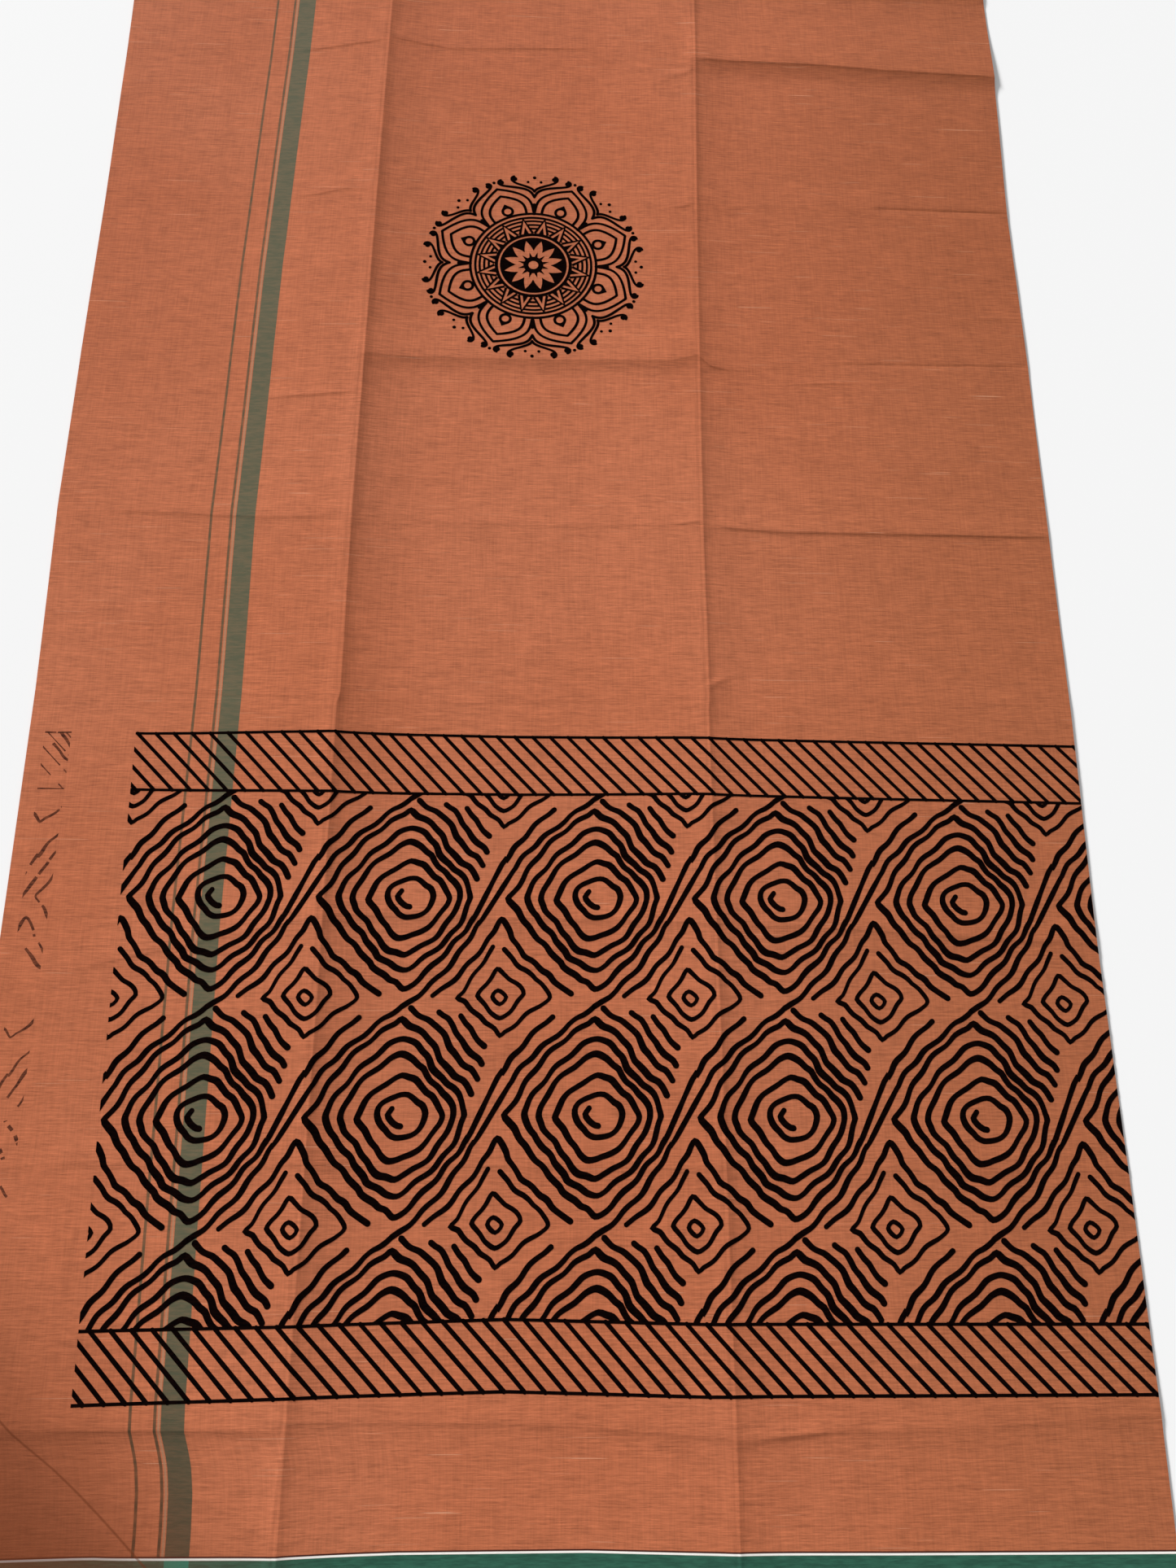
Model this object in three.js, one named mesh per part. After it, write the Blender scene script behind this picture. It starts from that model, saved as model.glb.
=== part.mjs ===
// A lungi: one unstitched length of light plain-woven cotton, worn wrapped round the waist.
// It lies opened out, face up, and the folds of its packet still stand in it as low ridges:
// two along the cloth and eight across it.
//
// Millimetres, +Z up. The origin is the middle of the cloth, on the surface that it lies on.
// +X runs across the cloth, +Y along it from the banded near end to the far end.
//
// The pieces are the woven cloth and the narrow hem turned under each of its two cut ends.
// The two long sides are selvedges, which need no hem.

import * as THREE from 'three';

// Driving dimensions
const WIDTH = 1200; // between the selvedges
const LENGTH = 2010; // between the turned ends
const WALL = 1; // thickness of one layer of cloth
const HEM_DEPTH = 8; // how far each cut end is turned under
const SEAM_GAP = 0.3; // between the cloth and the hem under it
const HEM_RUNOUT = 14; // where the cloth comes down from the hem to the surface

// Spacing of the surface's points: close together over a crease and wider between creases
const OPEN_SPACING = 60;
const CORNER_SPACING = 42;
const LENGTH_CREASE_STEPS = [-45, -20, -7, 0, 7, 20, 45, 85];
const CROSS_CREASE_STEPS = [-34, -11, 0, 11, 34];

// Distance on either side of a length-wise crest over which a cross crease changes its height
const HEIGHT_BLEND = 30;

// Where the two length-wise crests run, from the middle of the cloth, with the reach of their
// flanks to the left and right. The cloth leans away further on the right of each.
const LENGTH_CREASES = [
  { nearX: -264, farX: -243, leftFlank: 45, rightFlank: 85 },
  { nearX: 174, farX: 182, leftFlank: 32, rightFlank: 60 },
];

// Stations along the cloth, from its near end: how far each selvedge wanders from straight,
// and how high the first and second crests stand there
const STATIONS = [
  { fromNear: 0, leftEdge: 0.5, rightEdge: 2.0, firstCrest: 3.4, secondCrest: 2.2 },
  { fromNear: 147, leftEdge: 1.0, rightEdge: 2.6, firstCrest: 3.0, secondCrest: 2.4 },
  { fromNear: 392, leftEdge: 1.2, rightEdge: 0.4, firstCrest: 4.2, secondCrest: 2.6 },
  { fromNear: 643, leftEdge: 1.0, rightEdge: -3.2, firstCrest: 4.6, secondCrest: 3.0 },
  { fromNear: 906, leftEdge: 0.8, rightEdge: -0.2, firstCrest: 5.2, secondCrest: 3.6 },
  { fromNear: 1136, leftEdge: -3.5, rightEdge: 0.1, firstCrest: 5.8, secondCrest: 4.2 },
  { fromNear: 1372, leftEdge: -1.9, rightEdge: 0.6, firstCrest: 6.0, secondCrest: 4.6 },
  { fromNear: 1620, leftEdge: 0.9, rightEdge: -2.2, firstCrest: 6.4, secondCrest: 4.4 },
  { fromNear: 1865, leftEdge: 2.2, rightEdge: 3.5, firstCrest: 6.0, secondCrest: 4.0 },
  { fromNear: 2010, leftEdge: 1.0, rightEdge: 1.8, firstCrest: 5.4, secondCrest: 3.8 },
];

// The creases across the cloth. Each was pressed through several layers, so it stands to a
// different height in the strips left of, between and right of the length-wise creases.
// The slant is how much nearer its right end lies than its left end.
const CROSS_CREASES = [
  { fromNear: 147, slant: 0, left: 2.4, middle: 2.8, right: 2.6, nearFlank: 26, farFlank: 30 },
  { fromNear: 392, slant: 0, left: 0.8, middle: 1.0, right: 1.0, nearFlank: 20, farFlank: 24 },
  { fromNear: 643, slant: 24, left: 0.8, middle: 1.5, right: 1.4, nearFlank: 24, farFlank: 22 },
  { fromNear: 906, slant: 3, left: 1.6, middle: 1.4, right: 1.6, nearFlank: 26, farFlank: 30 },
  { fromNear: 1136, slant: 8, left: 1.6, middle: 2.2, right: 2.0, nearFlank: 30, farFlank: 24 },
  { fromNear: 1372, slant: 4, left: 1.0, middle: 2.4, right: 2.6, nearFlank: 28, farFlank: 26 },
  { fromNear: 1620, slant: -4, left: 1.2, middle: 0.9, right: 2.2, nearFlank: 24, farFlank: 22 },
  { fromNear: 1865, slant: 14, left: 1.8, middle: 1.8, right: 4.2, nearFlank: 34, farFlank: 20 },
];

// A crease where the near left corner was once turned over, from one edge to the other
const CORNER_FOLD = { alongEnd: 225, alongSide: 220, height: 2, flank: 34 };

// How far the ends sag in from straight at points across the cloth
const END_SAG = [
  { x: -600, near: 4, far: 2.0 },
  { x: -430, near: 8, far: 1.0 },
  { x: -264, near: 6, far: 0.5 },
  { x: -150, near: 9, far: 1.5 },
  { x: 30, near: 9, far: 2.5 },
  { x: 174, near: 4, far: 1.0 },
  { x: 330, near: 2, far: 1.5 },
  { x: 600, near: 0, far: 0 },
];

// Straight-line interpolation in a table whose rows are in order of one column
function lookUp(table, key, column, at) {
  const last = table.length - 1;
  let row = 0;
  while (row < last - 1 && table[row + 1][key] < at) row += 1;
  const low = table[row];
  const high = table[row + 1];
  const share = THREE.MathUtils.clamp((at - low[key]) / (high[key] - low[key]), 0, 1);
  return THREE.MathUtils.lerp(low[column], high[column], share);
}

// 1 at a crest, falling away to 0 at the reach of either flank
function ridge(distance, flankBefore, flankAfter) {
  const reach = distance < 0 ? flankBefore : flankAfter;
  const share = Math.max(0, 1 - Math.abs(distance) / reach);
  return share * share;
}

function crestX(crease, fromNear) {
  return THREE.MathUtils.lerp(crease.nearX, crease.farX, fromNear / LENGTH);
}

// The left selvedge, the two crests and the right selvedge at one station
function landmarks(fromNear) {
  return [
    -WIDTH / 2 + lookUp(STATIONS, 'fromNear', 'leftEdge', fromNear),
    crestX(LENGTH_CREASES[0], fromNear),
    crestX(LENGTH_CREASES[1], fromNear),
    WIDTH / 2 + lookUp(STATIONS, 'fromNear', 'rightEdge', fromNear),
  ];
}

// A column keeps its share of the strip that it lies in, wherever the strip's sides run
const STRIPS = [-WIDTH / 2, LENGTH_CREASES[0].nearX, LENGTH_CREASES[1].nearX, WIDTH / 2];

function columnX(column, fromNear) {
  const marks = landmarks(fromNear);
  const lastStrip = STRIPS.length - 2;
  let strip = 0;
  while (strip < lastStrip && column > STRIPS[strip + 1]) strip += 1;
  const share = (column - STRIPS[strip]) / (STRIPS[strip + 1] - STRIPS[strip]);
  return THREE.MathUtils.lerp(marks[strip], marks[strip + 1], share);
}

// A row follows the slant of the creases on either side of it, and the sag of the ends
const SLANTS = [
  { fromNear: 0, slant: 0 },
  ...CROSS_CREASES.map(({ fromNear, slant }) => ({ fromNear, slant })),
  { fromNear: LENGTH, slant: 0 },
];

function rowFromNear(row, x) {
  const slant = lookUp(SLANTS, 'fromNear', 'slant', row);
  const nearShare = Math.max(0, 1 - row / CROSS_CREASES[0].fromNear);
  const farStart = CROSS_CREASES[CROSS_CREASES.length - 1].fromNear;
  const farShare = Math.max(0, (row - farStart) / (LENGTH - farStart));
  const sag = lookUp(END_SAG, 'x', 'near', x) * nearShare - lookUp(END_SAG, 'x', 'far', x) * farShare;
  return row - (slant * x) / WIDTH + sag;
}

// How high a crease across the cloth stands at x, blended from strip to strip at each crest
function crossHeight(crease, x, [, firstCrest, secondCrest]) {
  const { smoothstep } = THREE.MathUtils;
  const intoMiddle = smoothstep(x, firstCrest - HEIGHT_BLEND, firstCrest + HEIGHT_BLEND);
  const intoRight = smoothstep(x, secondCrest - HEIGHT_BLEND, secondCrest + HEIGHT_BLEND);
  const leftToMiddle = THREE.MathUtils.lerp(crease.left, crease.middle, intoMiddle);
  return THREE.MathUtils.lerp(leftToMiddle, crease.right, intoRight);
}

// Height of the cloth's underside over the surface, from its creases alone
function creaseHeight(x, row) {
  const marks = landmarks(row);
  const [first, second] = LENGTH_CREASES;
  const firstRise =
    lookUp(STATIONS, 'fromNear', 'firstCrest', row) *
    ridge(x - marks[1], first.leftFlank, first.rightFlank);
  const secondRise =
    lookUp(STATIONS, 'fromNear', 'secondCrest', row) *
    ridge(x - marks[2], second.leftFlank, second.rightFlank);
  const crossRises = CROSS_CREASES.map(
    (crease) =>
      crossHeight(crease, x, marks) * ridge(row - crease.fromNear, crease.nearFlank, crease.farFlank),
  );
  const alongEnd = (x + WIDTH / 2) / CORNER_FOLD.alongEnd;
  const alongSide = row / CORNER_FOLD.alongSide;
  const slope = Math.hypot(1 / CORNER_FOLD.alongEnd, 1 / CORNER_FOLD.alongSide);
  const toCornerFold = (alongEnd + alongSide - 1) / slope;
  const cornerRise = CORNER_FOLD.height * ridge(toCornerFold, CORNER_FOLD.flank, CORNER_FOLD.flank);
  return Math.hypot(firstRise, secondRise, cornerRise, ...crossRises);
}

// How far the cloth is lifted by the hem under either end
function hemLift(row) {
  const toEnd = Math.min(row, LENGTH - row);
  const share = THREE.MathUtils.clamp((toEnd - HEM_DEPTH) / HEM_RUNOUT, 0, 1);
  return (WALL + SEAM_GAP) * (1 - share);
}

// Positions from one end to the other: each crease's own steps, and even steps between them
function spaced(start, end, creases, steps, spacing) {
  const marks = [start, ...creases.flatMap((at) => steps.map((step) => at + step)), end];
  const places = [start];
  marks.slice(1).forEach((mark, index) => {
    const from = marks[index];
    const count = Math.max(1, Math.round((mark - from) / spacing(from)));
    for (let step = 1; step <= count; step += 1) {
      places.push(THREE.MathUtils.lerp(from, mark, step / count));
    }
  });
  return places;
}

const columns = spaced(
  -WIDTH / 2,
  WIDTH / 2,
  LENGTH_CREASES.map((crease) => crease.nearX),
  LENGTH_CREASE_STEPS,
  (x) => (x < LENGTH_CREASES[0].nearX ? CORNER_SPACING : OPEN_SPACING),
);

const surfaceStart = HEM_DEPTH + HEM_RUNOUT;
const rows = [
  0,
  HEM_DEPTH,
  ...spaced(
    surfaceStart,
    LENGTH - surfaceStart,
    CROSS_CREASES.map((crease) => crease.fromNear),
    CROSS_CREASE_STEPS,
    (row) => (row < CORNER_FOLD.alongSide ? CORNER_SPACING : OPEN_SPACING),
  ),
  LENGTH - HEM_DEPTH,
  LENGTH,
];

// A closed wall over a grid of rows and columns: an underside, a top WALL above it, and a rim
function wallGeometry(rowList, columnList, underside) {
  const across = columnList.length;
  const layer = rowList.length * across;
  const points = [];
  for (const thickness of [0, WALL]) {
    for (const row of rowList) {
      for (const column of columnList) {
        const x = columnX(column, row);
        const y = rowFromNear(row, x) - LENGTH / 2;
        points.push(x, y, underside(x, row) + thickness);
      }
    }
  }
  const faces = [];
  const quad = (a, b, c, d) => faces.push(a, b, c, a, c, d);
  const lower = (row, column) => row * across + column;
  const upper = (row, column) => layer + row * across + column;
  for (let row = 0; row < rowList.length - 1; row += 1) {
    for (let column = 0; column < across - 1; column += 1) {
      quad(upper(row, column), upper(row, column + 1), upper(row + 1, column + 1), upper(row + 1, column));
      quad(lower(row, column), lower(row + 1, column), lower(row + 1, column + 1), lower(row, column + 1));
    }
  }
  const lastRow = rowList.length - 1;
  const lastColumn = across - 1;
  for (let column = 0; column < lastColumn; column += 1) {
    quad(lower(0, column), lower(0, column + 1), upper(0, column + 1), upper(0, column));
    quad(lower(lastRow, column + 1), lower(lastRow, column), upper(lastRow, column), upper(lastRow, column + 1));
  }
  for (let row = 0; row < lastRow; row += 1) {
    quad(lower(row + 1, 0), lower(row, 0), upper(row, 0), upper(row + 1, 0));
    quad(lower(row, lastColumn), lower(row + 1, lastColumn), upper(row + 1, lastColumn), upper(row, lastColumn));
  }
  const geometry = new THREE.BufferGeometry();
  geometry.setAttribute('position', new THREE.Float32BufferAttribute(points, 3));
  geometry.setIndex(faces);
  geometry.computeVertexNormals();
  return geometry;
}

const lungi = new THREE.Group();

function addPiece(name, geometry, color) {
  const material = new THREE.MeshStandardMaterial({ color, roughness: 0.9, metalness: 0 });
  const mesh = new THREE.Mesh(geometry, material);
  mesh.name = name;
  lungi.add(mesh);
}

const TERRACOTTA = 0xb96c50;
const BAND_GREEN = 0x2e644e;

// The cloth lies on the surface between its creases and over the hem at each end
addPiece(
  'cloth',
  wallGeometry(rows, columns, (x, row) => creaseHeight(x, row) + hemLift(row)),
  TERRACOTTA,
);

// The hems are the last of each end, turned under, so they follow the cloth's own creases
addPiece('hem_near', wallGeometry([0, HEM_DEPTH], columns, creaseHeight), BAND_GREEN);
addPiece('hem_far', wallGeometry([LENGTH - HEM_DEPTH, LENGTH], columns, creaseHeight), TERRACOTTA);

export default lungi;
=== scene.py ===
import math

import bmesh
import bpy
import numpy as np
from mathutils import Matrix, Vector
from mathutils.bvhtree import BVHTree
from mathutils.geometry import delaunay_2d_cdt


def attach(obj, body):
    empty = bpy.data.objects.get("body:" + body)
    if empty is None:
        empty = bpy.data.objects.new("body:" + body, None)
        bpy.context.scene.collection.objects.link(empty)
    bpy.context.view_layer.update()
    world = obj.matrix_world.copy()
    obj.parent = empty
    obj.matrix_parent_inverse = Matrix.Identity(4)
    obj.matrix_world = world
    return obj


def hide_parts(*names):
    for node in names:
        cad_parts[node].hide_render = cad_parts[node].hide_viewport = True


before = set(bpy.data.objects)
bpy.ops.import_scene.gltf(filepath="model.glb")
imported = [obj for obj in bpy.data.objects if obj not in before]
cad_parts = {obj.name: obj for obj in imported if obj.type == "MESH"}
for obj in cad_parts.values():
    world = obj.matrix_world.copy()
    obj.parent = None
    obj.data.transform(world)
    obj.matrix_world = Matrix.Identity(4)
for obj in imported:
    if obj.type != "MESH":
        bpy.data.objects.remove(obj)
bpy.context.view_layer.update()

# A lungi laid out flat and face up. Tables are in millimetres, across the cloth from its middle
# (x) and along it from its banded near end (from_near), and Blender objects are in metres.
MM = 0.001

# ---------------------------------------------------------------- sizes of the cloth
WIDTH = 1200.0
LENGTH = 2010.0
HALF_WIDTH = WIDTH / 2
HALF_LENGTH = LENGTH / 2
CLOTH_THICKNESS = 0.55
SWELL = 0.17
CROSS_SHARE = 0.9
HEM_DEPTH = 8.0
HEM_THICKNESS = 1.0
SEAM_GAP = 0.3
HEM_RUNOUT = 14.0

# The two creases along the cloth: where each crest would meet the ends, how far it reaches to
# its long left side and its short right side, and the sharp lip along its top
LENGTH_CREASES = (
    dict(near_x=-264.0, far_x=-243.0, left_reach=190.0, right_reach=88.0, lip=0.23, lip_reach=15.0),
    dict(near_x=174.0, far_x=182.0, left_reach=150.0, right_reach=60.0, lip=0.28, lip_reach=8.0),
)
LIP_LEFT_REACH = 24.0
# A fine groove runs just left of each crest
GROOVE_FROM_CREST = 3.6
GROOVE_REACH = 2.8
GROOVE_DEPTH = 0.20

# Stations: how far each selvedge wanders, how high the two crests stand and how far they wander
STATIONS = np.array(
    # from_near, left_edge, right_edge, first_crest, second_crest, first_wander, second_wander
    [
        (0, 0.5, 2.0, 3.8, 2.2, 2.3, 3.0),
        (147, 1.0, 2.5, 3.8, 2.3, 2.2, 2.5),
        (392, 1.0, 0.5, 4.6, 2.5, 1.8, 0.0),
        (643, 1.0, -3.0, 5.2, 2.6, 1.2, -3.0),
        (896, 1.0, 0.0, 5.8, 2.8, -1.0, -5.5),
        (911, 1.0, 0.0, 5.8, 2.8, 2.2, -4.0),
        (1136, -3.5, 0.0, 6.0, 2.9, -0.3, -6.0),
        (1368, -2.0, 0.5, 6.5, 2.7, 0.8, -4.5),
        (1620, 1.0, -2.0, 5.8, 2.9, 1.2, -2.5),
        (1873, 2.0, 3.5, 4.8, 3.1, 2.5, 1.0),
        (2010, 1.0, 2.0, 4.4, 3.0, 3.2, 2.0),
    ],
    float,
)

# The creases across the cloth. broad: height in the left, middle and right strips. near, far:
# reach of the two flanks. thin: sharp pinches from x to x, upward or (negative) downward.
# line: the way that the crease runs, as x and from_near.
CROSS_CREASES = (
    dict(
        row=147.0, broad=(1.3, 0.5, 0.9), near=22, far=60,
        thin=((-487, -275, 0.42), (-262, 173, 0.3), (173, 596, 0.06)),
        line=(
            (-600, 149), (-487, 147), (-279, 145), (-262, 152), (-16, 149), (173, 135), (371, 142),
            (600, 152),
        ),
    ),
    dict(
        row=392.0, broad=(0.3, 0.3, 0.3), near=20, far=45,
        thin=((-518, 595, 0.16),),
        line=((-600, 392), (-238, 391), (182, 387), (600, 384)),
    ),
    dict(
        row=643.0, broad=(0.3, 0.5, 0.5), near=24, far=45,
        thin=((-514, -254, 0.24), (-254, 281, 0.24), (281, 590, 0.28)),
        line=((-600, 574), (-514, 592), (-254, 651), (12, 649), (281, 642), (600, 624)),
    ),
    dict(
        row=906.0, broad=(0.15, 0.1, 0.15), near=26, far=50,
        thin=((-500, -259, -0.22), (-243, 160, -0.14), (172, 590, -0.1)),
        line=((-600, 908), (-455, 907), (-259, 901), (-83, 898), (172, 908), (296, 905), (600, 906)),
    ),
    dict(
        row=1136.0, broad=(0.2, 0.15, 0.2), near=26, far=50,
        thin=((-540, -268, 0.45), (-243, 170, 0.16), (190, 600, 0.95)),
        line=(
            (-600, 1144), (-527, 1142), (-362, 1136), (-304, 1136), (-243, 1142), (-130, 1134),
            (-14, 1133), (133, 1136), (170, 1140), (207, 1134), (269, 1130), (600, 1130),
        ),
    ),
    dict(
        row=1368.0, broad=(0.1, 1.9, 0.3), near=24, far=70,
        thin=((166, 216, 0.8), (340, 600, -0.5)),
        line=(
            (-600, 1366), (-243, 1368), (3, 1369), (138, 1370), (172, 1379), (188, 1364), (213, 1360),
            (375, 1373), (600, 1376),
        ),
    ),
    dict(
        row=1620.0, broad=(0.2, 0.2, 0.4), near=26, far=50,
        thin=((-350, -251, 0.4), (140, 178, 0.6), (410, 600, -0.8)),
        line=(
            (-600, 1612), (-334, 1612), (-287, 1624), (-251, 1622), (23, 1616), (158, 1611),
            (176, 1618), (439, 1620), (600, 1618),
        ),
    ),
    dict(
        row=1873.0, broad=(0.2, 0.2, 3.6), near=34, far=110,
        thin=((-360, -246, 0.5), (-243, 40, 0.45), (184, 600, 0.3)),
        line=(
            (-600, 1858), (-350, 1859), (-246, 1880), (-238, 1886), (-157, 1873), (23, 1880),
            (120, 1872), (184, 1866), (338, 1864), (446, 1857), (600, 1852),
        ),
    ),
)
STRIP_BLEND = 26.0
PINCH_STEEP_REACH = 4.5
RIDGE_FAR_REACH = 34.0
GROOVE_NEAR_REACH = 13.0
PINCH_FADE = 16.0

CORNER_FOLD = dict(along_end=225.0, along_side=220.0, height=3.0, near=34.0, far=90.0)

# How far the two ends sag in from straight: x, near end, far end
END_SAG = np.array(
    [
        (-600, 4, 2.0),
        (-430, 8, 1.0),
        (-264, 6, 0.5),
        (-150, 9, 1.5),
        (30, 9, 2.5),
        (174, 4, 1.0),
        (330, 2, 1.5),
        (600, 0, 0),
    ],
    float,
)

# Short sharp creases between the long ones: from, to, height and the two flanks
SMALL_CREASES = (
    # x0, from_near0, x1, from_near1, height, near_reach, far_reach
    (-365, 1303, -254, 1312, 0.7, 5, 14),
    (133, 1825, 178, 1846, 0.9, 5, 9),
    (500, 1447, 600, 1449, 0.5, 5, 11),
    (306, 1343, 364, 1345, 0.5, 5, 10),
    (130, 1136, 172, 1142, 0.6, 5, 8),
    (165, 918, 209, 948, 0.8, 5, 9),
    (172, 130, 300, 144, 0.8, 5, 14),
    (330, 150, 350, 55, 0.9, 26, 40),
    (-262, 152, -268, 60, 0.5, 5, 12),
)

# Where the warp runs off true beside the striped selvedge: from_near, drift to the right
WARP_DRIFT = np.array(
    [
        (0, 18.0),
        (60, 16.5),
        (92, 14.5),
        (112, 11.5),
        (122, 9.0),
        (132, 6.0),
        (145, 2.0),
        (170, 0.5),
        (330, -2.5),
        (650, -6.5),
        (900, -5.5),
        (1150, -4.5),
        (1300, -2.5),
        (1500, -0.5),
        (1700, 4.5),
        (2010, 13.0),
    ],
    float,
)
# The drift comes in between these places across, and goes out between these
DRIFT_IN = (-HALF_WIDTH, -470.0)
DRIFT_OUT = (-330.0, 0.0)

# ---------------------------------------------------------------- the cloth's shape


def at_stations(from_near, column):
    return np.interp(from_near, STATIONS[:, 0], STATIONS[:, column])


def left_selvedge(from_near):
    return -HALF_WIDTH + at_stations(from_near, 1)


def right_selvedge(from_near):
    return HALF_WIDTH + at_stations(from_near, 2)


def crest_x(which, from_near):
    crease = LENGTH_CREASES[which]
    straight = crease["near_x"] + (crease["far_x"] - crease["near_x"]) * from_near / LENGTH
    return straight + at_stations(from_near, 5 + which)


def sharp(distance, reach):
    """1 at a crest with a slope on it, easing out to 0 at the reach."""
    return np.clip(1 - np.abs(distance) / reach, 0, 1) ** 2


def rounded(distance, reach):
    """1 at a crest with no slope on it, in an S to 0 at the reach."""
    share = np.clip(1 - np.abs(distance) / reach, 0, 1)
    return share * share * (3 - 2 * share)


def smoothstep(value, low, high):
    share = np.clip((value - low) / (high - low), 0, 1)
    return share * share * (3 - 2 * share)


def column_x(column, from_near):
    """A column keeps its share of the strip that it lies in, wherever the strip's sides run."""
    crest_columns = [crease["near_x"] for crease in LENGTH_CREASES]
    flat = [-HALF_WIDTH, *crest_columns, HALF_WIDTH]
    laid = [
        left_selvedge(from_near),
        crest_x(0, from_near),
        crest_x(1, from_near),
        right_selvedge(from_near),
    ]
    x = np.zeros(np.broadcast(column, from_near).shape)
    for strip in range(3):
        inside = (column >= flat[strip]) & (column <= flat[strip + 1])
        share = (column - flat[strip]) / (flat[strip + 1] - flat[strip])
        x = np.where(inside, laid[strip] + share * (laid[strip + 1] - laid[strip]), x)
    return x


def crease_line(crease, x):
    points = np.array(crease["line"], float)
    return np.interp(x, points[:, 0], points[:, 1])


def row_bend(row, x):
    """How far a row lies from straight, so that the rows at the creases follow them."""
    stops = np.array([0.0, *(crease["row"] for crease in CROSS_CREASES), LENGTH])
    bends = [np.zeros_like(x)]
    bends += [crease_line(crease, x) - crease["row"] for crease in CROSS_CREASES]
    bends.append(np.zeros_like(x))
    bend = np.zeros_like(x)
    for k in range(len(stops) - 1):
        share = (row - stops[k]) / (stops[k + 1] - stops[k])
        between = (share >= 0) & (share <= 1)
        bend = np.where(between, bends[k] + share * (bends[k + 1] - bends[k]), bend)
    return bend


def end_sag(row, x):
    first_crease, last_crease = CROSS_CREASES[0]["row"], CROSS_CREASES[-1]["row"]
    near = np.clip(1 - row / first_crease, 0, 1)
    far = np.clip((row - last_crease) / (LENGTH - last_crease), 0, 1)
    near_sag = np.interp(x, END_SAG[:, 0], END_SAG[:, 1])
    far_sag = np.interp(x, END_SAG[:, 0], END_SAG[:, 2])
    return near_sag * near - far_sag * far


def length_creases(x, y):
    rises = []
    for which, crease in enumerate(LENGTH_CREASES):
        height = at_stations(y, 3 + which)
        distance = x - crest_x(which, y)
        right = sharp(distance, crease["right_reach"])
        body = np.where(distance < 0, rounded(distance, crease["left_reach"]), right)
        lip = np.where(
            distance < 0, rounded(distance, LIP_LEFT_REACH), sharp(distance, crease["lip_reach"])
        )
        groove = GROOVE_DEPTH * rounded(distance + GROOVE_FROM_CREST, GROOVE_REACH)
        rises.append(height * (body + crease["lip"] * lip) - groove)
    return np.hypot(*rises)


def in_strips(values, x, y):
    """One value in each strip between the length creases, blended across their crests."""
    first_x, second_x = crest_x(0, y), crest_x(1, y)
    into_middle = smoothstep(x, first_x - STRIP_BLEND, first_x + STRIP_BLEND)
    into_right = smoothstep(x, second_x - STRIP_BLEND, second_x + STRIP_BLEND)
    left, middle, right = values
    value = left + (middle - left) * into_middle
    return value + (right - value) * into_right


def pinch(distance, height):
    """A thin crease, dark on its near side: a ridge, or a groove where its height is below 0."""
    steep = sharp(distance, PINCH_STEEP_REACH)
    if height > 0:
        return height * np.where(distance < 0, steep, rounded(distance, RIDGE_FAR_REACH))
    return height * np.where(distance > 0, steep, sharp(distance, GROOVE_NEAR_REACH))


def cross_creases(x, y):
    total = np.zeros_like(x)
    for crease in CROSS_CREASES:
        distance = y - crease_line(crease, x)
        height = in_strips(crease["broad"], x, y)
        near = sharp(distance, crease["near"])
        total = total + height * np.where(distance < 0, near, rounded(distance, crease["far"]))
        for start, end, thin in crease["thin"]:
            begun = smoothstep(x, start, start + PINCH_FADE)
            ended = smoothstep(x, end - PINCH_FADE, end)
            total = total + begun * (1 - ended) * pinch(distance, thin)
    return total


def corner_fold(x, y):
    along_end, along_side = CORNER_FOLD["along_end"], CORNER_FOLD["along_side"]
    slope = math.hypot(1 / along_end, 1 / along_side)
    distance = ((x + HALF_WIDTH) / along_end + y / along_side - 1) / slope
    near = sharp(distance, CORNER_FOLD["near"])
    body = np.where(distance < 0, near, rounded(distance, CORNER_FOLD["far"]))
    return CORNER_FOLD["height"] * body


def small_creases(x, y):
    rise = np.zeros_like(x)
    for x0, y0, x1, y1, height, near_reach, far_reach in SMALL_CREASES:
        run, climb = x1 - x0, y1 - y0
        length = math.hypot(run, climb)
        along = ((x - x0) * run + (y - y0) * climb) / length**2
        side = ((y - y0) * run - (x - x0) * climb) / length
        taper = np.clip(4 * along * (1 - along), 0, 1) ** 0.5
        reach = np.where(side < 0, near_reach, far_reach)
        rise = np.maximum(rise, height * taper * sharp(side, reach))
    return rise


def swell(x, y):
    """The slight swell of cloth that doesn't lie quite flat, down to 0 at its lowest places."""
    waves = (
        np.sin(x / 61 + 1.3 * np.sin(y / 143))
        + np.sin(y / 47 + 0.9 * np.sin(x / 97) + 2.0)
        + np.sin((x + 0.6 * y) / 83 + 0.4)
        + 0.4 * np.sin(y / 13.0 + 1.7 * np.sin(x / 71) + 0.6) * np.sin(x / 157 + y / 211)
    )
    return SWELL * (waves + 3.4)


def underside_height(x, y):
    """Height of the cloth's underside over the floor."""
    rise = length_creases(x, y) + CROSS_SHARE * cross_creases(x, y) + corner_fold(x, y)
    return np.maximum(rise + small_creases(x, y) + swell(x, y), 0)


def hem_lift(row):
    to_end = np.minimum(row, LENGTH - row)
    share = np.clip((to_end - HEM_DEPTH) / HEM_RUNOUT, 0, 1)
    return (HEM_THICKNESS + SEAM_GAP) * (1 - share)


def spaced(start, end, marks, steps, spacing):
    """Places from start to end: each mark's own steps, and even steps between them."""
    stops = sorted({start, end, *(m + s for m in marks for s in steps if start < m + s < end)})
    places = [start]
    for low, high in zip(stops, stops[1:]):
        count = max(1, round((high - low) / spacing))
        places.extend(low + (high - low) * k / count for k in range(1, count + 1))
    return np.array(places)


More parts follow.
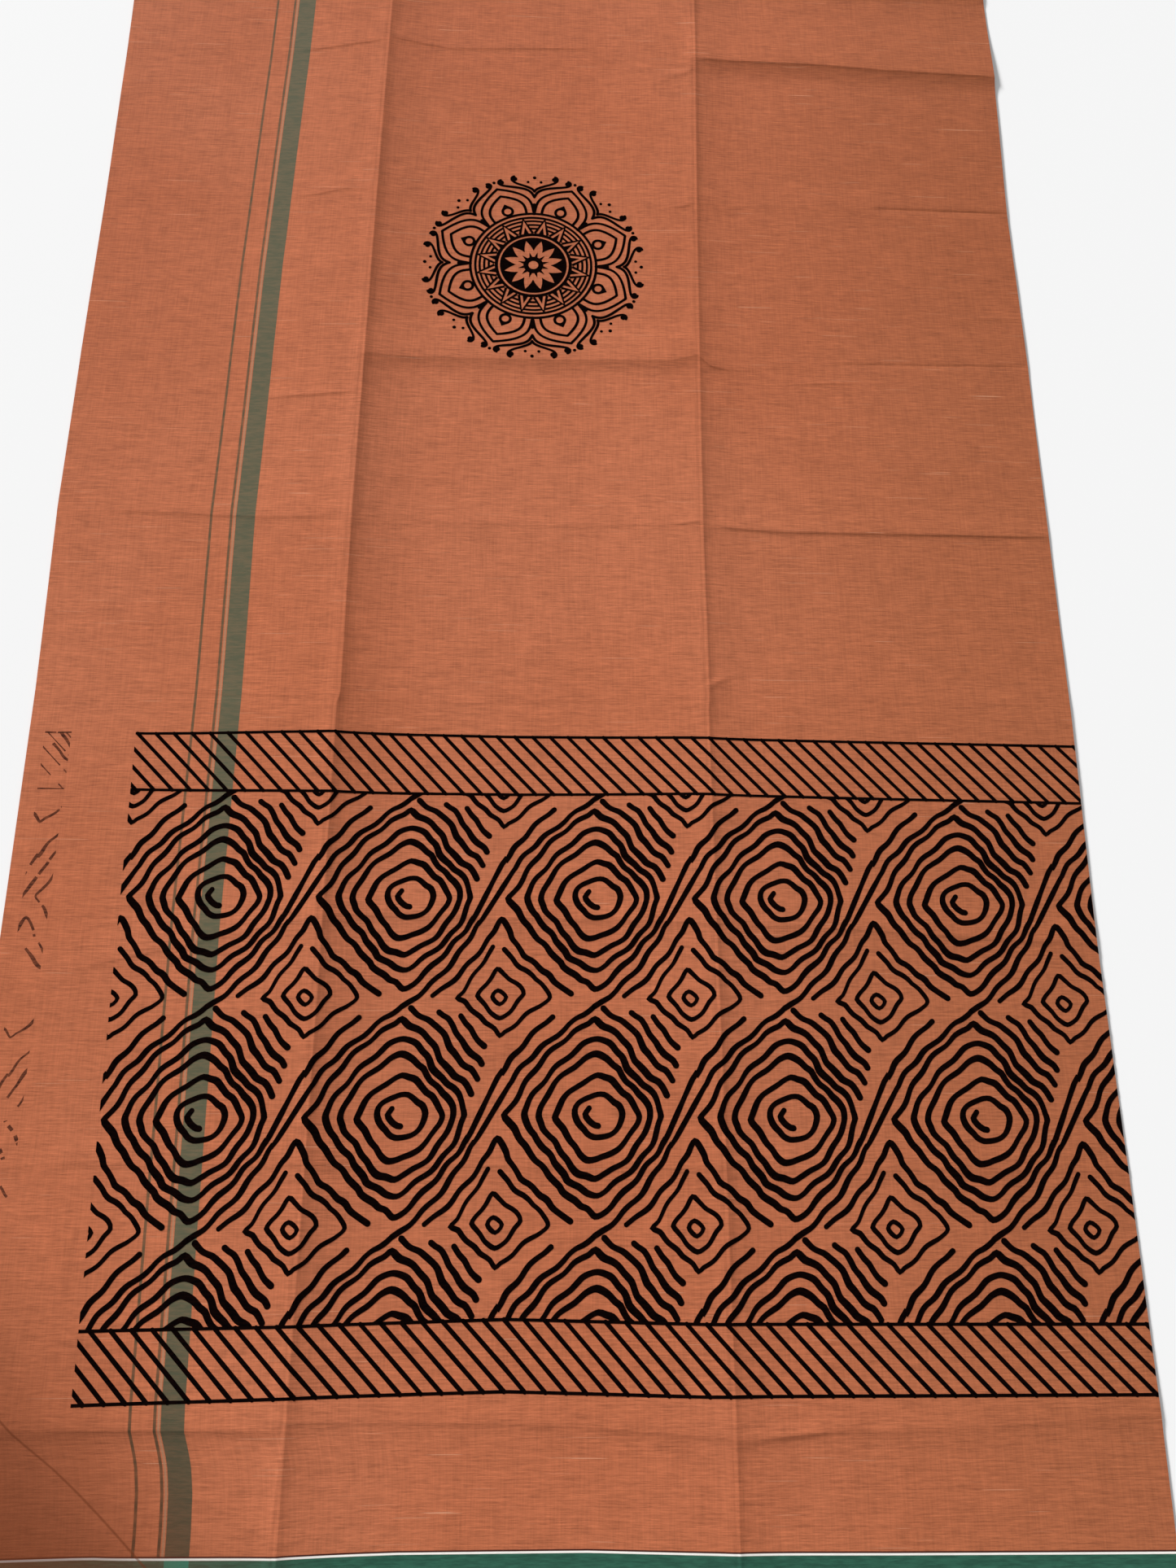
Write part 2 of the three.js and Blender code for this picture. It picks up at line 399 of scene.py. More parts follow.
CREST_STEPS = (
    -46, -34, -24, -16, -11, -8, -6.2, -4.9, -3.6, -2.3, -1, 0, 0.8, 2, 4, 7, 11, 16, 24, 34, 46, 60,
    75, 90,
)
CROSS_STEPS = (-34, -24, -16, -10, -6, -3, -1.2, 0, 1.2, 3, 6, 10, 16, 24, 34)
OPEN_SPACING = 11.0
SMALL_CREASE_ROWS = (932.0, 1307.0, 1343.0, 1447.0, 1835.0)
EDGE_STEP = 3.0

columns = spaced(
    -HALF_WIDTH,
    HALF_WIDTH,
    [crease["near_x"] for crease in LENGTH_CREASES],
    CREST_STEPS,
    OPEN_SPACING,
)
columns = np.array(sorted({*columns, -HALF_WIDTH + EDGE_STEP, HALF_WIDTH - EDGE_STEP}))
rows = spaced(
    0.0,
    LENGTH,
    [crease["row"] for crease in CROSS_CREASES] + list(SMALL_CREASE_ROWS),
    CROSS_STEPS,
    OPEN_SPACING,
)
from_an_end = (HEM_DEPTH, HEM_DEPTH + HEM_RUNOUT)
hem_rows = {*from_an_end, *(LENGTH - place for place in from_an_end)}
rows = np.array(sorted({*rows, *hem_rows, EDGE_STEP, LENGTH - EDGE_STEP}))


def new_object(name, data):
    made = bpy.data.objects.new(name, data)
    bpy.context.scene.collection.objects.link(made)
    return made


def laid_grid(row_list, column_list):
    """Laid place and the weave's own place of every crossing of a row and a column."""
    row, column = np.meshgrid(row_list, column_list, indexing="ij")
    x = column_x(column, row)
    straight = row + row_bend(row, x)
    y = straight + end_sag(row, x)
    left, right = left_selvedge(row), right_selvedge(row)
    across = (x - left) / (right - left) * WIDTH - HALF_WIDTH
    beside_stripes = smoothstep(across, *DRIFT_IN) * (1 - smoothstep(across, *DRIFT_OUT))
    drift = np.interp(straight, WARP_DRIFT[:, 0], WARP_DRIFT[:, 1])
    weave = np.stack([across - drift * beside_stripes, straight], axis=-1)
    return row, x, y, weave


def shell(name, row_list, column_list, underside, thickness):
    """A closed thin wall over a grid: an underside, a top above it, and a rim."""
    row, x, y, weave = laid_grid(row_list, column_list)
    low = underside(x, y, row)
    count_rows, count_columns = row.shape
    layer = count_rows * count_columns
    points = np.concatenate(
        [np.stack([x, y - HALF_LENGTH, z], axis=-1).reshape(-1, 3) for z in (low, low + thickness)]
    )
    index = np.arange(layer).reshape(count_rows, count_columns)
    a, b = index[:-1, :-1].ravel(), index[:-1, 1:].ravel()
    c, d = index[1:, 1:].ravel(), index[1:, :-1].ravel()
    faces = [np.stack([a, d, c, b], axis=1), np.stack([a, b, c, d], axis=1) + layer]
    for loop in (index[0], index[:, -1], index[-1, ::-1], index[::-1, 0]):
        start, end = loop[:-1], loop[1:]
        faces.append(np.stack([start, end, end + layer, start + layer], axis=1))
    faces = np.concatenate(faces)
    mesh = bpy.data.meshes.new(name)
    mesh.from_pydata((points * MM).tolist(), [], faces.tolist())
    layer_uv = mesh.uv_layers.new(name="weave")
    flat_weave = np.concatenate([weave.reshape(-1, 2)] * 2) * MM
    corner = np.empty(len(mesh.loops), dtype=np.int32)
    mesh.loops.foreach_get("vertex_index", corner)
    layer_uv.data.foreach_set("uv", flat_weave[corner].ravel())
    mesh.polygons.foreach_set("use_smooth", [True] * len(mesh.polygons))
    mesh.update()
    piece = new_object(name, mesh)
    bm = bmesh.new()
    bm.from_mesh(mesh)
    bm.normal_update()
    crisp_edges(bm)
    bm.to_mesh(mesh)
    bm.free()
    return piece


CRISP_COSINE = 0.5


def crisp_edges(bm):
    """Keeps a wall's cut edges crisp, where its faces turn into its rim."""
    for edge in bm.edges:
        if len(edge.link_faces) == 2:
            first, second = edge.link_faces
            edge.smooth = first.normal.dot(second.normal) > CRISP_COSINE


# ---------------------------------------------------------------- camera, light and floor
CAMERA_PLACE = (-0.0236, -0.6305, 1.3555)
CAMERA_TILT_FROM_DOWN = math.radians(17.753)
CAMERA_YAW = math.radians(-7.347)
CAMERA_ROLL = math.radians(7.666)
FOCAL_PIXELS = 1539.55
FRAME_LONG_SIDE_PIXELS = 1927
SENSOR = 36.0


def add_camera():
    data = bpy.data.cameras.new("camera")
    data.sensor_width = SENSOR
    data.lens = FOCAL_PIXELS / FRAME_LONG_SIDE_PIXELS * SENSOR
    camera = new_object("camera", data)
    turn = (
        Matrix.Rotation(CAMERA_YAW, 4, "Z")
        @ Matrix.Rotation(CAMERA_TILT_FROM_DOWN, 4, "X")
        @ Matrix.Rotation(CAMERA_ROLL, 4, "Z")
    )
    camera.matrix_world = Matrix.Translation(CAMERA_PLACE) @ turn
    bpy.context.scene.camera = camera


FLOOR_SIZE = 30
FLOOR_DROP = 0.0004
FLOOR_WHITE = (0.86, 0.86, 0.86, 1)


def add_floor():
    bpy.ops.mesh.primitive_plane_add(size=FLOOR_SIZE, location=(0, 0, -FLOOR_DROP))
    floor = bpy.context.object
    floor.name = "floor"
    material = bpy.data.materials.new("pale_floor")
    material.use_nodes = True
    surface = material.node_tree.nodes["Principled BSDF"]
    surface.inputs["Base Color"].default_value = FLOOR_WHITE
    surface.inputs["Roughness"].default_value = 0.9
    surface.inputs["Specular IOR Level"].default_value = 0.1
    floor.data.materials.append(material)


KEY_ELEVATION = math.radians(15)
KEY_AZIMUTH_FROM = (-0.6, 0.8)
KEY_STRENGTH = 7.8
KEY_SOFTNESS = math.radians(10)
FILL_STRENGTH = 0.42


def add_key_light():
    """Low soft light from beyond the far left corner, which draws the creases."""
    data = bpy.data.lights.new("key", "SUN")
    data.energy = KEY_STRENGTH
    data.angle = KEY_SOFTNESS
    light = new_object("key", data)
    level = math.cos(KEY_ELEVATION)
    sideways, far = KEY_AZIMUTH_FROM
    towards_light = Vector((sideways * level, far * level, math.sin(KEY_ELEVATION)))
    light.rotation_euler = towards_light.to_track_quat("Z", "Y").to_euler()


def add_light():
    world = bpy.data.worlds.new("studio")
    world.use_nodes = True
    background = world.node_tree.nodes["Background"]
    background.inputs["Color"].default_value = (1.0, 1.0, 1.0, 1)
    background.inputs["Strength"].default_value = FILL_STRENGTH
    bpy.context.scene.world = world
    add_key_light()
    bpy.context.scene.view_settings.view_transform = "Standard"


# ---------------------------------------------------------------- materials
class Nodes:
    """Short names for the nodes that the materials here share."""

    def __init__(self, name):
        self.material = bpy.data.materials.new(name)
        self.material.use_nodes = True
        self.tree = self.material.node_tree
        self.surface = self.tree.nodes["Principled BSDF"]

    def put(self, socket, value):
        if isinstance(value, bpy.types.NodeSocket):
            self.tree.links.new(value, socket)
        elif value is not None:
            socket.default_value = value

    def math(self, operation, a, b=None):
        node = self.tree.nodes.new("ShaderNodeMath")
        node.operation = operation
        self.put(node.inputs[0], a)
        self.put(node.inputs[1], b)
        return node.outputs[0]

    def plus(self, a, b):
        return self.math("ADD", a, b)

    def times(self, a, b):
        return self.math("MULTIPLY", a, b)

    def uneven(self, noise, amount):
        """A noise as a push either way round 0."""
        return self.times(self.math("SUBTRACT", noise, 0.5), amount)

    def fade(self, value, low, high, from_value=0.0, to_value=1.0):
        """Smooth change of a value from one level to another."""
        node = self.tree.nodes.new("ShaderNodeMapRange")
        node.interpolation_type = "SMOOTHSTEP"
        self.put(node.inputs["Value"], value)
        node.inputs["From Min"].default_value = low
        node.inputs["From Max"].default_value = high
        node.inputs["To Min"].default_value = from_value
        node.inputs["To Max"].default_value = to_value
        return node.outputs[0]

    def noise(self, across, along, scale_across, scale_along, detail=2.0, seed=0.0):
        """Noise in the cloth's own plane, stretched by its two scales (per metre)."""
        join = self.tree.nodes.new("ShaderNodeCombineXYZ")
        self.put(join.inputs[0], self.times(across, scale_across))
        self.put(join.inputs[1], self.times(along, scale_along))
        join.inputs[2].default_value = seed
        node = self.tree.nodes.new("ShaderNodeTexNoise")
        node.inputs["Scale"].default_value = 1.0
        node.inputs["Detail"].default_value = detail
        self.tree.links.new(join.outputs[0], node.inputs["Vector"])
        return node.outputs["Fac"]

    def mix(self, share, a, b, blend="MIX"):
        node = self.tree.nodes.new("ShaderNodeMix")
        node.data_type = "RGBA"
        node.blend_type = blend
        self.put(node.inputs["Factor"], share)
        self.put(node.inputs["A"], a)
        self.put(node.inputs["B"], b)
        return node.outputs["Result"]

    def scaled(self, colour, factor):
        node = self.tree.nodes.new("ShaderNodeVectorMath")
        node.operation = "SCALE"
        self.put(node.inputs[0], colour)
        self.put(node.inputs["Scale"], factor)
        return node.outputs[0]

    def line(self, value, centre, width, soft=0.0004):
        """1 inside a line of a width round centre, in metres, with soft edges."""
        away = self.math("ABSOLUTE", self.math("SUBTRACT", value, centre))
        return self.fade(away, width / 2 - soft, width / 2 + soft, 1.0, 0.0)

    def bump(self, height, strength, distance):
        node = self.tree.nodes.new("ShaderNodeBump")
        node.inputs["Strength"].default_value = strength
        node.inputs["Distance"].default_value = distance
        self.put(node.inputs["Height"], height)
        self.tree.links.new(node.outputs["Normal"], self.surface.inputs["Normal"])


TERRACOTTA = (0.441, 0.129, 0.057, 1)
TERRACOTTA_LIGHT = (0.468, 0.144, 0.067, 1)
# Browner terracotta: the thread's colour, and the painted shade on the cloth's right side
TERRACOTTA_BROWN = (0.370, 0.113, 0.048, 1)
FAR_TINT = (0.945, 0.90, 0.86, 1)
# Painted shade for the near left corner and along its fold
TERRACOTTA_PAINTED_SHADE = (0.120, 0.027, 0.007, 1)
SLUB_PALE = (0.70, 0.36, 0.22, 1)
STRIPE_OLIVE = (0.105, 0.104, 0.060, 1)
STRIPE_DARK = (0.080, 0.091, 0.053, 1)
LINE_BROWN = (0.100, 0.070, 0.036, 1)
LINE_TAN = (0.37, 0.20, 0.115, 1)
WEFT_WHITE = (0.86, 0.83, 0.78, 1)
WEFT_MAROON = (0.030, 0.006, 0.006, 1)
BAND_GREEN = (0.030, 0.115, 0.075, 1)
BAND_GREEN_DARK = (0.020, 0.075, 0.050, 1)
BAND_TEAL = (0.0, 0.20, 0.135, 1)
INK_BLACK = (0.0016, 0.0010, 0.0012, 1)
INK_SET_OFF = (0.055, 0.019, 0.013, 1)

# The weave's lines (m): warp lines by their distance across, weft lines by their distance along
STRIPE_CENTRE = -0.372
STRIPE_WIDTH = 0.0228
# Each line's distance from the stripe's middle, and its width
THIN_LINES = ((-0.0410, 0.0030), (-0.0172, 0.0030))
TAN_LINE = (-0.0134, 0.0022)
BAND_DEPTH = 0.0312
WHITE_LINE_WIDTH = 0.0019
MAROON_LINE_WIDTH = 0.0016
WEFT_LINE_SOFT = 0.0003

# Where the colour changes over the cloth (m): from and to
# Painted shade: the cloth turns browner and darker towards its right side, away from the light
SHADED_RIGHT_ACROSS = (0.10, 0.58)
FAR_TINT_ALONG = (1.2, 1.6)
STRIPES_DARK_ALONG = (0.02, 0.36)
# The painted shade over the near left corner, as shares of the distance from the corner to its fold
CORNER_SHADE_SHARES = (0.35, 1.95)
# A line of painted shade along the corner's fold: its width and its soft edges
FOLD_SHADE_WIDTH, FOLD_SHADE_SOFT = 0.013, 0.005

# Noises in the cloth: scale across and along (per metre), detail and seed
CLOTH_NOISES = dict(
    cloud=(2.6, 2.1, 3.0, 1.7),
    long_slubs=(24, 560, 2.0, 4.1),
    short_slubs=(95, 900, 2.0, 9.3),
    warp_slubs=(640, 30, 1.0, 6.6),
    blotches=(38, 60, 2.0, 3.8),
    pale_weft=(14, 900, 0.0, 12.5),
    ragged=(0, 95, 2.0, 2.2),
    streaks=(75, 420, 2.0, 3.4),
)
# How far the noises in the yarns lighten and darken the cloth
YARN_SHADES = dict(long_slubs=0.68, short_slubs=0.68, warp_slubs=0.32, blotches=0.22)


def weave_coordinates(nodes):
    uv = nodes.tree.nodes.new("ShaderNodeUVMap")
    uv.uv_map = "weave"
    split = nodes.tree.nodes.new("ShaderNodeSeparateXYZ")
    nodes.tree.links.new(uv.outputs[0], split.inputs[0])
    return split.outputs[0], split.outputs[1]


THREAD_PITCH = 0.00052
THREAD_SHARE = 0.25
WEAVE_BUMP = 0.35
WEAVE_RELIEF = 0.00035


def weave_bump(nodes, across, along, slubs):
    """Plain weave: crossing threads, with the slubs standing a little proud."""
    turn = 2 * math.pi / THREAD_PITCH
    warp = nodes.math("SINE", nodes.times(across, turn))
    weft = nodes.math("SINE", nodes.times(along, turn))
    threads = nodes.times(nodes.times(warp, weft), THREAD_SHARE)
    nodes.bump(nodes.plus(threads, slubs), WEAVE_BUMP, WEAVE_RELIEF)


def cloth_material():
    nodes = Nodes("woven_cotton_cloth")
    across, along = weave_coordinates(nodes)
    noises = {name: nodes.noise(across, along, *sizes) for name, sizes in CLOTH_NOISES.items()}
    # Yarn colours, with painted shade towards the right side
    colour = yarn_colour(nodes, across, along, noises)
    colour, thin, stripe = warp_stripes(nodes, colour, across, along, noises)
    colour = end_band(nodes, colour, along, noises, thin, stripe)
    # Painted shade over the near left corner and along its fold
    colour = painted_corner_shade(nodes, colour, across, along, noises["cloud"])
    nodes.put(nodes.surface.inputs["Base Color"], colour)
    slubs = nodes.plus(nodes.times(noises["long_slubs"], 0.9), nodes.times(noises["short_slubs"], 0.7))
    weave_bump(nodes, across, along, slubs)
    finish_as_cotton(nodes)
    return nodes.material


def yarn_colour(nodes, across, along, noises):
    """Terracotta, browner and darker on the right as painted shade, deeper at the far end, with thick
    and thin yarns.
    """
    cloud = noises["cloud"]
    colour = nodes.mix(nodes.fade(cloud, 0.35, 0.65), TERRACOTTA, TERRACOTTA_LIGHT)
    # Painted shade: browner and darker towards the right side, away from the light
    shaded_right = nodes.plus(across, nodes.uneven(cloud, 0.25))
    colour = nodes.mix(nodes.fade(shaded_right, *SHADED_RIGHT_ACROSS), colour, TERRACOTTA_BROWN)
    far = nodes.mix(1.0, colour, FAR_TINT, "MULTIPLY")
    colour = nodes.mix(nodes.fade(along, *FAR_TINT_ALONG), colour, far)
    shade = 1.0
    for name, amount in YARN_SHADES.items():
        shade = nodes.plus(shade, nodes.uneven(noises[name], amount))
    colour = nodes.scaled(colour, shade)
    return nodes.mix(nodes.fade(noises["pale_weft"], 0.83, 0.87, 0, 0.45), colour, SLUB_PALE)


def warp_stripes(nodes, colour, across, along, noises):
    """Two thin lines, a tan one and the broad stripe, darker towards the near end."""
    from_stripe = nodes.math("SUBTRACT", across, STRIPE_CENTRE)
    darkened = nodes.fade(along, *STRIPES_DARK_ALONG, 0.62, 1.0)
    first, second = (nodes.line(from_stripe, *line) for line in THIN_LINES)
    thin = nodes.math("MAXIMUM", first, second)
    thin_share = nodes.times(thin, nodes.fade(noises["ragged"], 0.25, 0.75, 0.72, 1.0))
    colour = nodes.mix(thin_share, colour, nodes.scaled(LINE_BROWN[:3], darkened))
    tan = nodes.line(from_stripe, *TAN_LINE)
    colour = nodes.mix(nodes.times(tan, 0.75), colour, LINE_TAN)
    stripe = nodes.line(from_stripe, 0.0, STRIPE_WIDTH)
    streaks = noises["streaks"]
    stripe_colour = nodes.mix(nodes.fade(streaks, 0.3, 0.7), STRIPE_DARK, STRIPE_OLIVE)
    stripe_share = nodes.times(stripe, nodes.fade(streaks, 0.2, 0.8, 0.97, 0.90))
    colour = nodes.mix(stripe_share, colour, nodes.scaled(stripe_colour, darkened))
    return colour, thin, stripe


def end_band(nodes, colour, along, noises, thin, stripe):
    """Green weft over the same warp, then a white weft line and a maroon one."""
    low, high = BAND_DEPTH - WEFT_LINE_SOFT, BAND_DEPTH + WEFT_LINE_SOFT
    in_band = nodes.fade(along, low, high, 1.0, 0.0)
    band = nodes.mix(nodes.fade(noises["streaks"], 0.25, 0.75), BAND_GREEN_DARK, BAND_GREEN)
    band = nodes.mix(nodes.times(thin, 0.6), band, BAND_GREEN_DARK)
    band = nodes.mix(stripe, band, BAND_TEAL)
    colour = nodes.mix(in_band, colour, band)
    maroon_at = BAND_DEPTH + WHITE_LINE_WIDTH + MAROON_LINE_WIDTH / 2
    maroon = nodes.line(along, maroon_at, MAROON_LINE_WIDTH, WEFT_LINE_SOFT)
    colour = nodes.mix(nodes.times(maroon, 0.95), colour, WEFT_MAROON)
    white_at = BAND_DEPTH + WHITE_LINE_WIDTH / 2
    white = nodes.line(along, white_at, WHITE_LINE_WIDTH, WEFT_LINE_SOFT)
    return nodes.mix(white, colour, WEFT_WHITE)


def painted_corner_shade(nodes, colour, across, along, cloud):
    """Painted shade over the corner that lay folded over, darkest along its fold."""
    from_side = nodes.plus(across, HALF_WIDTH * MM)
    from_side = nodes.math("DIVIDE", from_side, CORNER_FOLD["along_end"] * MM)
    from_end = nodes.math("DIVIDE", along, CORNER_FOLD["along_side"] * MM)
    from_corner = nodes.plus(from_side, from_end)
    uneven = nodes.plus(from_corner, nodes.uneven(cloud, 0.5))
    # Painted shade, strongest at the corner and fading out past its fold
    painted_shade = nodes.fade(uneven, *CORNER_SHADE_SHARES, 0.80, 0.0)
    colour = nodes.mix(painted_shade, colour, TERRACOTTA_PAINTED_SHADE)
    # A line of painted shade along the fold itself
    fold_shade = nodes.line(from_corner, 1.0, FOLD_SHADE_WIDTH, FOLD_SHADE_SOFT)
    return nodes.mix(nodes.times(fold_shade, 0.6), colour, TERRACOTTA_PAINTED_SHADE)


def finish_as_cotton(nodes):
    nodes.surface.inputs["Roughness"].default_value = 0.92
    nodes.surface.inputs["Specular IOR Level"].default_value = 0.1
    nodes.surface.inputs["Sheen Weight"].default_value = 0.03
    nodes.surface.inputs["Sheen Roughness"].default_value = 0.5


def frame_coordinates(nodes):
    place = nodes.tree.nodes.new("ShaderNodeTexCoord")
    split = nodes.tree.nodes.new("ShaderNodeSeparateXYZ")
    nodes.tree.links.new(place.outputs["Object"], split.inputs[0])
    return split.outputs[0], split.outputs[1]


def ink_material(name, colour, worn):
    nodes = Nodes(name)
    across, along = frame_coordinates(nodes)
    grain = nodes.noise(across, along, 900, 900, detail=1.0, seed=3.0)
    starved = nodes.noise(across, along, 140, 420, detail=2.0, seed=8.0)
    # Pigment is a little thin where the weave's hollows held it off
    bare = nodes.times(nodes.fade(grain, 0.70, 0.85), nodes.fade(starved, 0.55, 0.7))
    bare = nodes.plus(nodes.times(bare, 0.6), nodes.fade(starved, 0.72, 0.3, 0, worn))
    shown = nodes.mix(bare, colour, TERRACOTTA)
    nodes.put(nodes.surface.inputs["Base Color"], shown)
    weave_bump(nodes, across, along, nodes.times(grain, 0.3))
    nodes.surface.inputs["Roughness"].default_value = 0.95
    nodes.surface.inputs["Specular IOR Level"].default_value = 0.0
    return nodes.material


# ---------------------------------------------------------------- the print
# Places on the print: x across the cloth, y along it from the white weft line (mm)
WHITE_LINE_FROM_NEAR = 32.0
FRAME_LINE_WIDTH = 3.1
PRINT_LEFT_TOP = (-480.5, 826.0)
PRINT_LEFT_BOTTOM = (-468.0, 136.0)
# Hatched bands of the panel: far line and near line
FAR_BAND = (829.0, 760.0)
NEAR_BAND = (204.5, 139.0)
PANEL_TOP, PANEL_BOTTOM = FAR_BAND[1], NEAR_BAND[0]
# Where each frame line runs on the laid cloth, at these places across it
FRAME_LINES_X = (-480.0, -467.0, -265.0, -50.0, 150.0, 600.0)
FRAME_LINES = {
    FAR_BAND[0]: (826.5, 826.5, 830.0, 828.0, 829.0, 825.0),
    FAR_BAND[1]: (760.0, 760.0, 759.0, 759.0, 761.5, 756.0),
    NEAR_BAND[0]: (202.5, 202.5, 206.0, 211.5, 206.0, 204.0),
    NEAR_BAND[1]: (136.5, 136.5, 141.5, 146.0, 140.0, 139.0),
}
FRAME_LINE_START, FRAME_LINE_END, FRAME_LINE_STEP = -484.0, 606.0, 6.0
HATCH_PITCH_X = 20.3
HATCH_START, HATCH_END = -620.0, 620.0
# A hatch stroke goes this far across for this far down
HATCH_RUN, HATCH_FALL = 65.5, 69.0
HATCH_POINTS = 24
# Each band's far line and near line, where a stroke meets the far line, and its width
HATCH_BANDS = ((*FAR_BAND, -458.0, 4.1), (*NEAR_BAND, -458.5, 4.5))
REPEAT_X = 205.75
REPEAT_Y = 234.0
FIRST_RING_X = 40.0
RING_ROWS = (873.0, 639.0, 405.0, 171.0)
STROKE_STEP = 3.0

# Families of nested lozenges (mm). Each reach is that of number 0 and what each number adds;
# power makes them rounder (2) or straighter (1), and least is where it stops falling.
RINGS = dict(
    middle=(0.0, 0.0),
    left=(4.0, 18.4), right=(14.0, 14.2), up=(2.5, 19.8), down=(2.5, 19.8),
    power=(1.9, -0.16), least=1.2,
)
NEXT_RINGS = {**RINGS, "middle": (REPEAT_X, 0.0)}
SMALL_LOZENGES = dict(
    middle=(102.0, -109.0),
    left=(-4.0, 25.5), right=(1.0, 26.5), up=(7.0, 26.0), down=(12.0, 15.0),
    power=(1.35, -0.17), least=0.8,
)
DOT_RINGS = dict(
    middle=(102.0, -109.0),
    left=(0.0, 7.0), right=(0.0, 7.0), up=(0.0, 8.2), down=(0.0, 7.8),
    power=(2.0, 0.0), least=2.0,
)

# The strokes of one repeat: width, then the arcs that it runs through, each with its family,
# its number there, and from and to in degrees
PANEL_STROKES = (
    (5.8, ((RINGS, 0.42, 140, 285),)),
    (6.2, ((RINGS, 0.95, 0, 360),)),
    (6.5, ((RINGS, 2.0, 0, 360),)),
    (6.5, ((RINGS, 3.0, 0, 360),)),
    (6.5, ((RINGS, 4.0, 0, 360),)),
    (6.5, ((RINGS, 5.0, 17, 350), (NEXT_RINGS, 6.85, 160, 114))),
    (6.3, ((RINGS, 5.783, 270, 345), (NEXT_RINGS, 5.783, 165, 90))),
    (6.2, ((RINGS, 6.05, 24, 84),)),
    (6.0, ((RINGS, 7.0, 31, 71),)),
    (5.8, ((RINGS, 7.95, 41, 59),)),
    (6.0, ((SMALL_LOZENGES, 3.0, 2, 178),)),
    (4.9, ((SMALL_LOZENGES, 2.0, 97, 443),)),
    (4.8, ((SMALL_LOZENGES, 1.0, 0, 360),)),
    (4.3, ((DOT_RINGS, 1.0, 0, 360),)),
)

# An unsteady hand: waves a repeat across and along, where they start, and their push (mm)
HAND_WAVES = (
    (2, 1, 0.4, 1.5, 0.6),
    (-1, 3, 1.9, 0.5, 1.6),
    (3, -2, 3.1, 1.1, 1.1),
    (5, 3, 0.9, 0.9, -0.8),
    (-4, 6, 4.0, -0.8, 0.9),
    (8, -5, 2.3, 0.55, 0.6),
)
NIB_SLANT = math.radians(135)
NIB_SHARE = 0.13
ARC_POINT_SPACING = 8.0


def lozenge_arc(family, number, start, end):
    """Points along one lozenge of a family, with one at each of its corners on the way."""
    def reach(side):
        first, step = family[side]
        return first + step * number

    size = (reach("left") + reach("right")) / 2
    low, high = min(start, end), max(start, end)
    stops = [low, *(corner for corner in range(90, 540, 90) if low < corner < high), high]
    degrees = [low]
    for a, b in zip(stops, stops[1:]):
        count = max(1, round(size * math.radians(b - a) / ARC_POINT_SPACING))
        degrees.extend(np.linspace(a, b, count + 1)[1:])
    turn = np.radians(degrees if start < end else degrees[::-1])
    across = np.where(np.cos(turn) > 0, reach("right"), reach("left"))
    along = np.where(np.sin(turn) > 0, reach("up"), reach("down"))
    power = max(reach("power"), family["least"])
    bulk = np.abs(np.cos(turn) / across) ** power + np.abs(np.sin(turn) / along) ** power
    radius = bulk ** (-1 / power)
    return np.stack([radius * np.cos(turn), radius * np.sin(turn)], axis=1) + family["middle"]


def hand_waves(points):
    """Moves points as an unsteady hand would, alike in every repeat."""
    moved = points.copy()
    for across, along, start, push_x, push_y in HAND_WAVES:
        turns = across * points[:, 0] / REPEAT_X + along * points[:, 1] / REPEAT_Y
        moved += np.sin(2 * np.pi * turns + start)[:, None] * (push_x, push_y)
    return moved


def panel_strokes(step):
    """Width, closed or not, and path of each stroke in one repeat."""
    strokes = []
    for width, arcs in PANEL_STROKES:
        closed = abs(arcs[0][3] - arcs[0][2]) == 360
        points = hand_waves(np.concatenate([lozenge_arc(*arc) for arc in arcs]))
        if closed:
            points = points[:-1]
        strokes.append((width, closed, smooth_path(points, closed, step)))
    return strokes


def nib_width(path, width):
    """A broad nib: strokes that run down to the right are heavier."""
    run = np.gradient(path, axis=0)
    slant = np.arctan2(run[:, 1], run[:, 0])
    return width * (1 + NIB_SHARE * np.cos(2 * (slant - NIB_SLANT)))


def smooth_path(points, closed, step=STROKE_STEP):
    """A smooth line through the points, with a point about every step."""
    points = np.array(points, float)
    if closed:
        ring = np.concatenate([points[-1:], points, points[:2]])
    else:
        before, after = 2 * points[:1] - points[1:2], 2 * points[-1:] - points[-2:-1]
        ring = np.concatenate([before, points, after])
    pieces = []
    for a, b, c, d in zip(ring, ring[1:], ring[2:], ring[3:]):
        count = max(1, round(float(np.linalg.norm(c - b)) / step))
        t = (np.arange(count) / count)[:, None]
        curve = 2 * b + (c - a) * t + (2 * a - 5 * b + 4 * c - d) * t**2
        pieces.append(0.5 * (curve + (3 * b - a - 3 * c + d) * t**3))
    if not closed:
        pieces.append(points[-1:])
    return np.concatenate(pieces)


def slow_wobble(distance, seed):
    """An uneven wave between about -1 and 1 along a stroke."""
    return (
        0.55 * np.sin(distance / 13.0 + 2.4 * seed)
        + 0.30 * np.sin(distance / 5.3 + 5.1 * seed + 1.0)
        + 0.25 * np.sin(distance / 29.0 + 0.7 * seed + 2.0)
    )


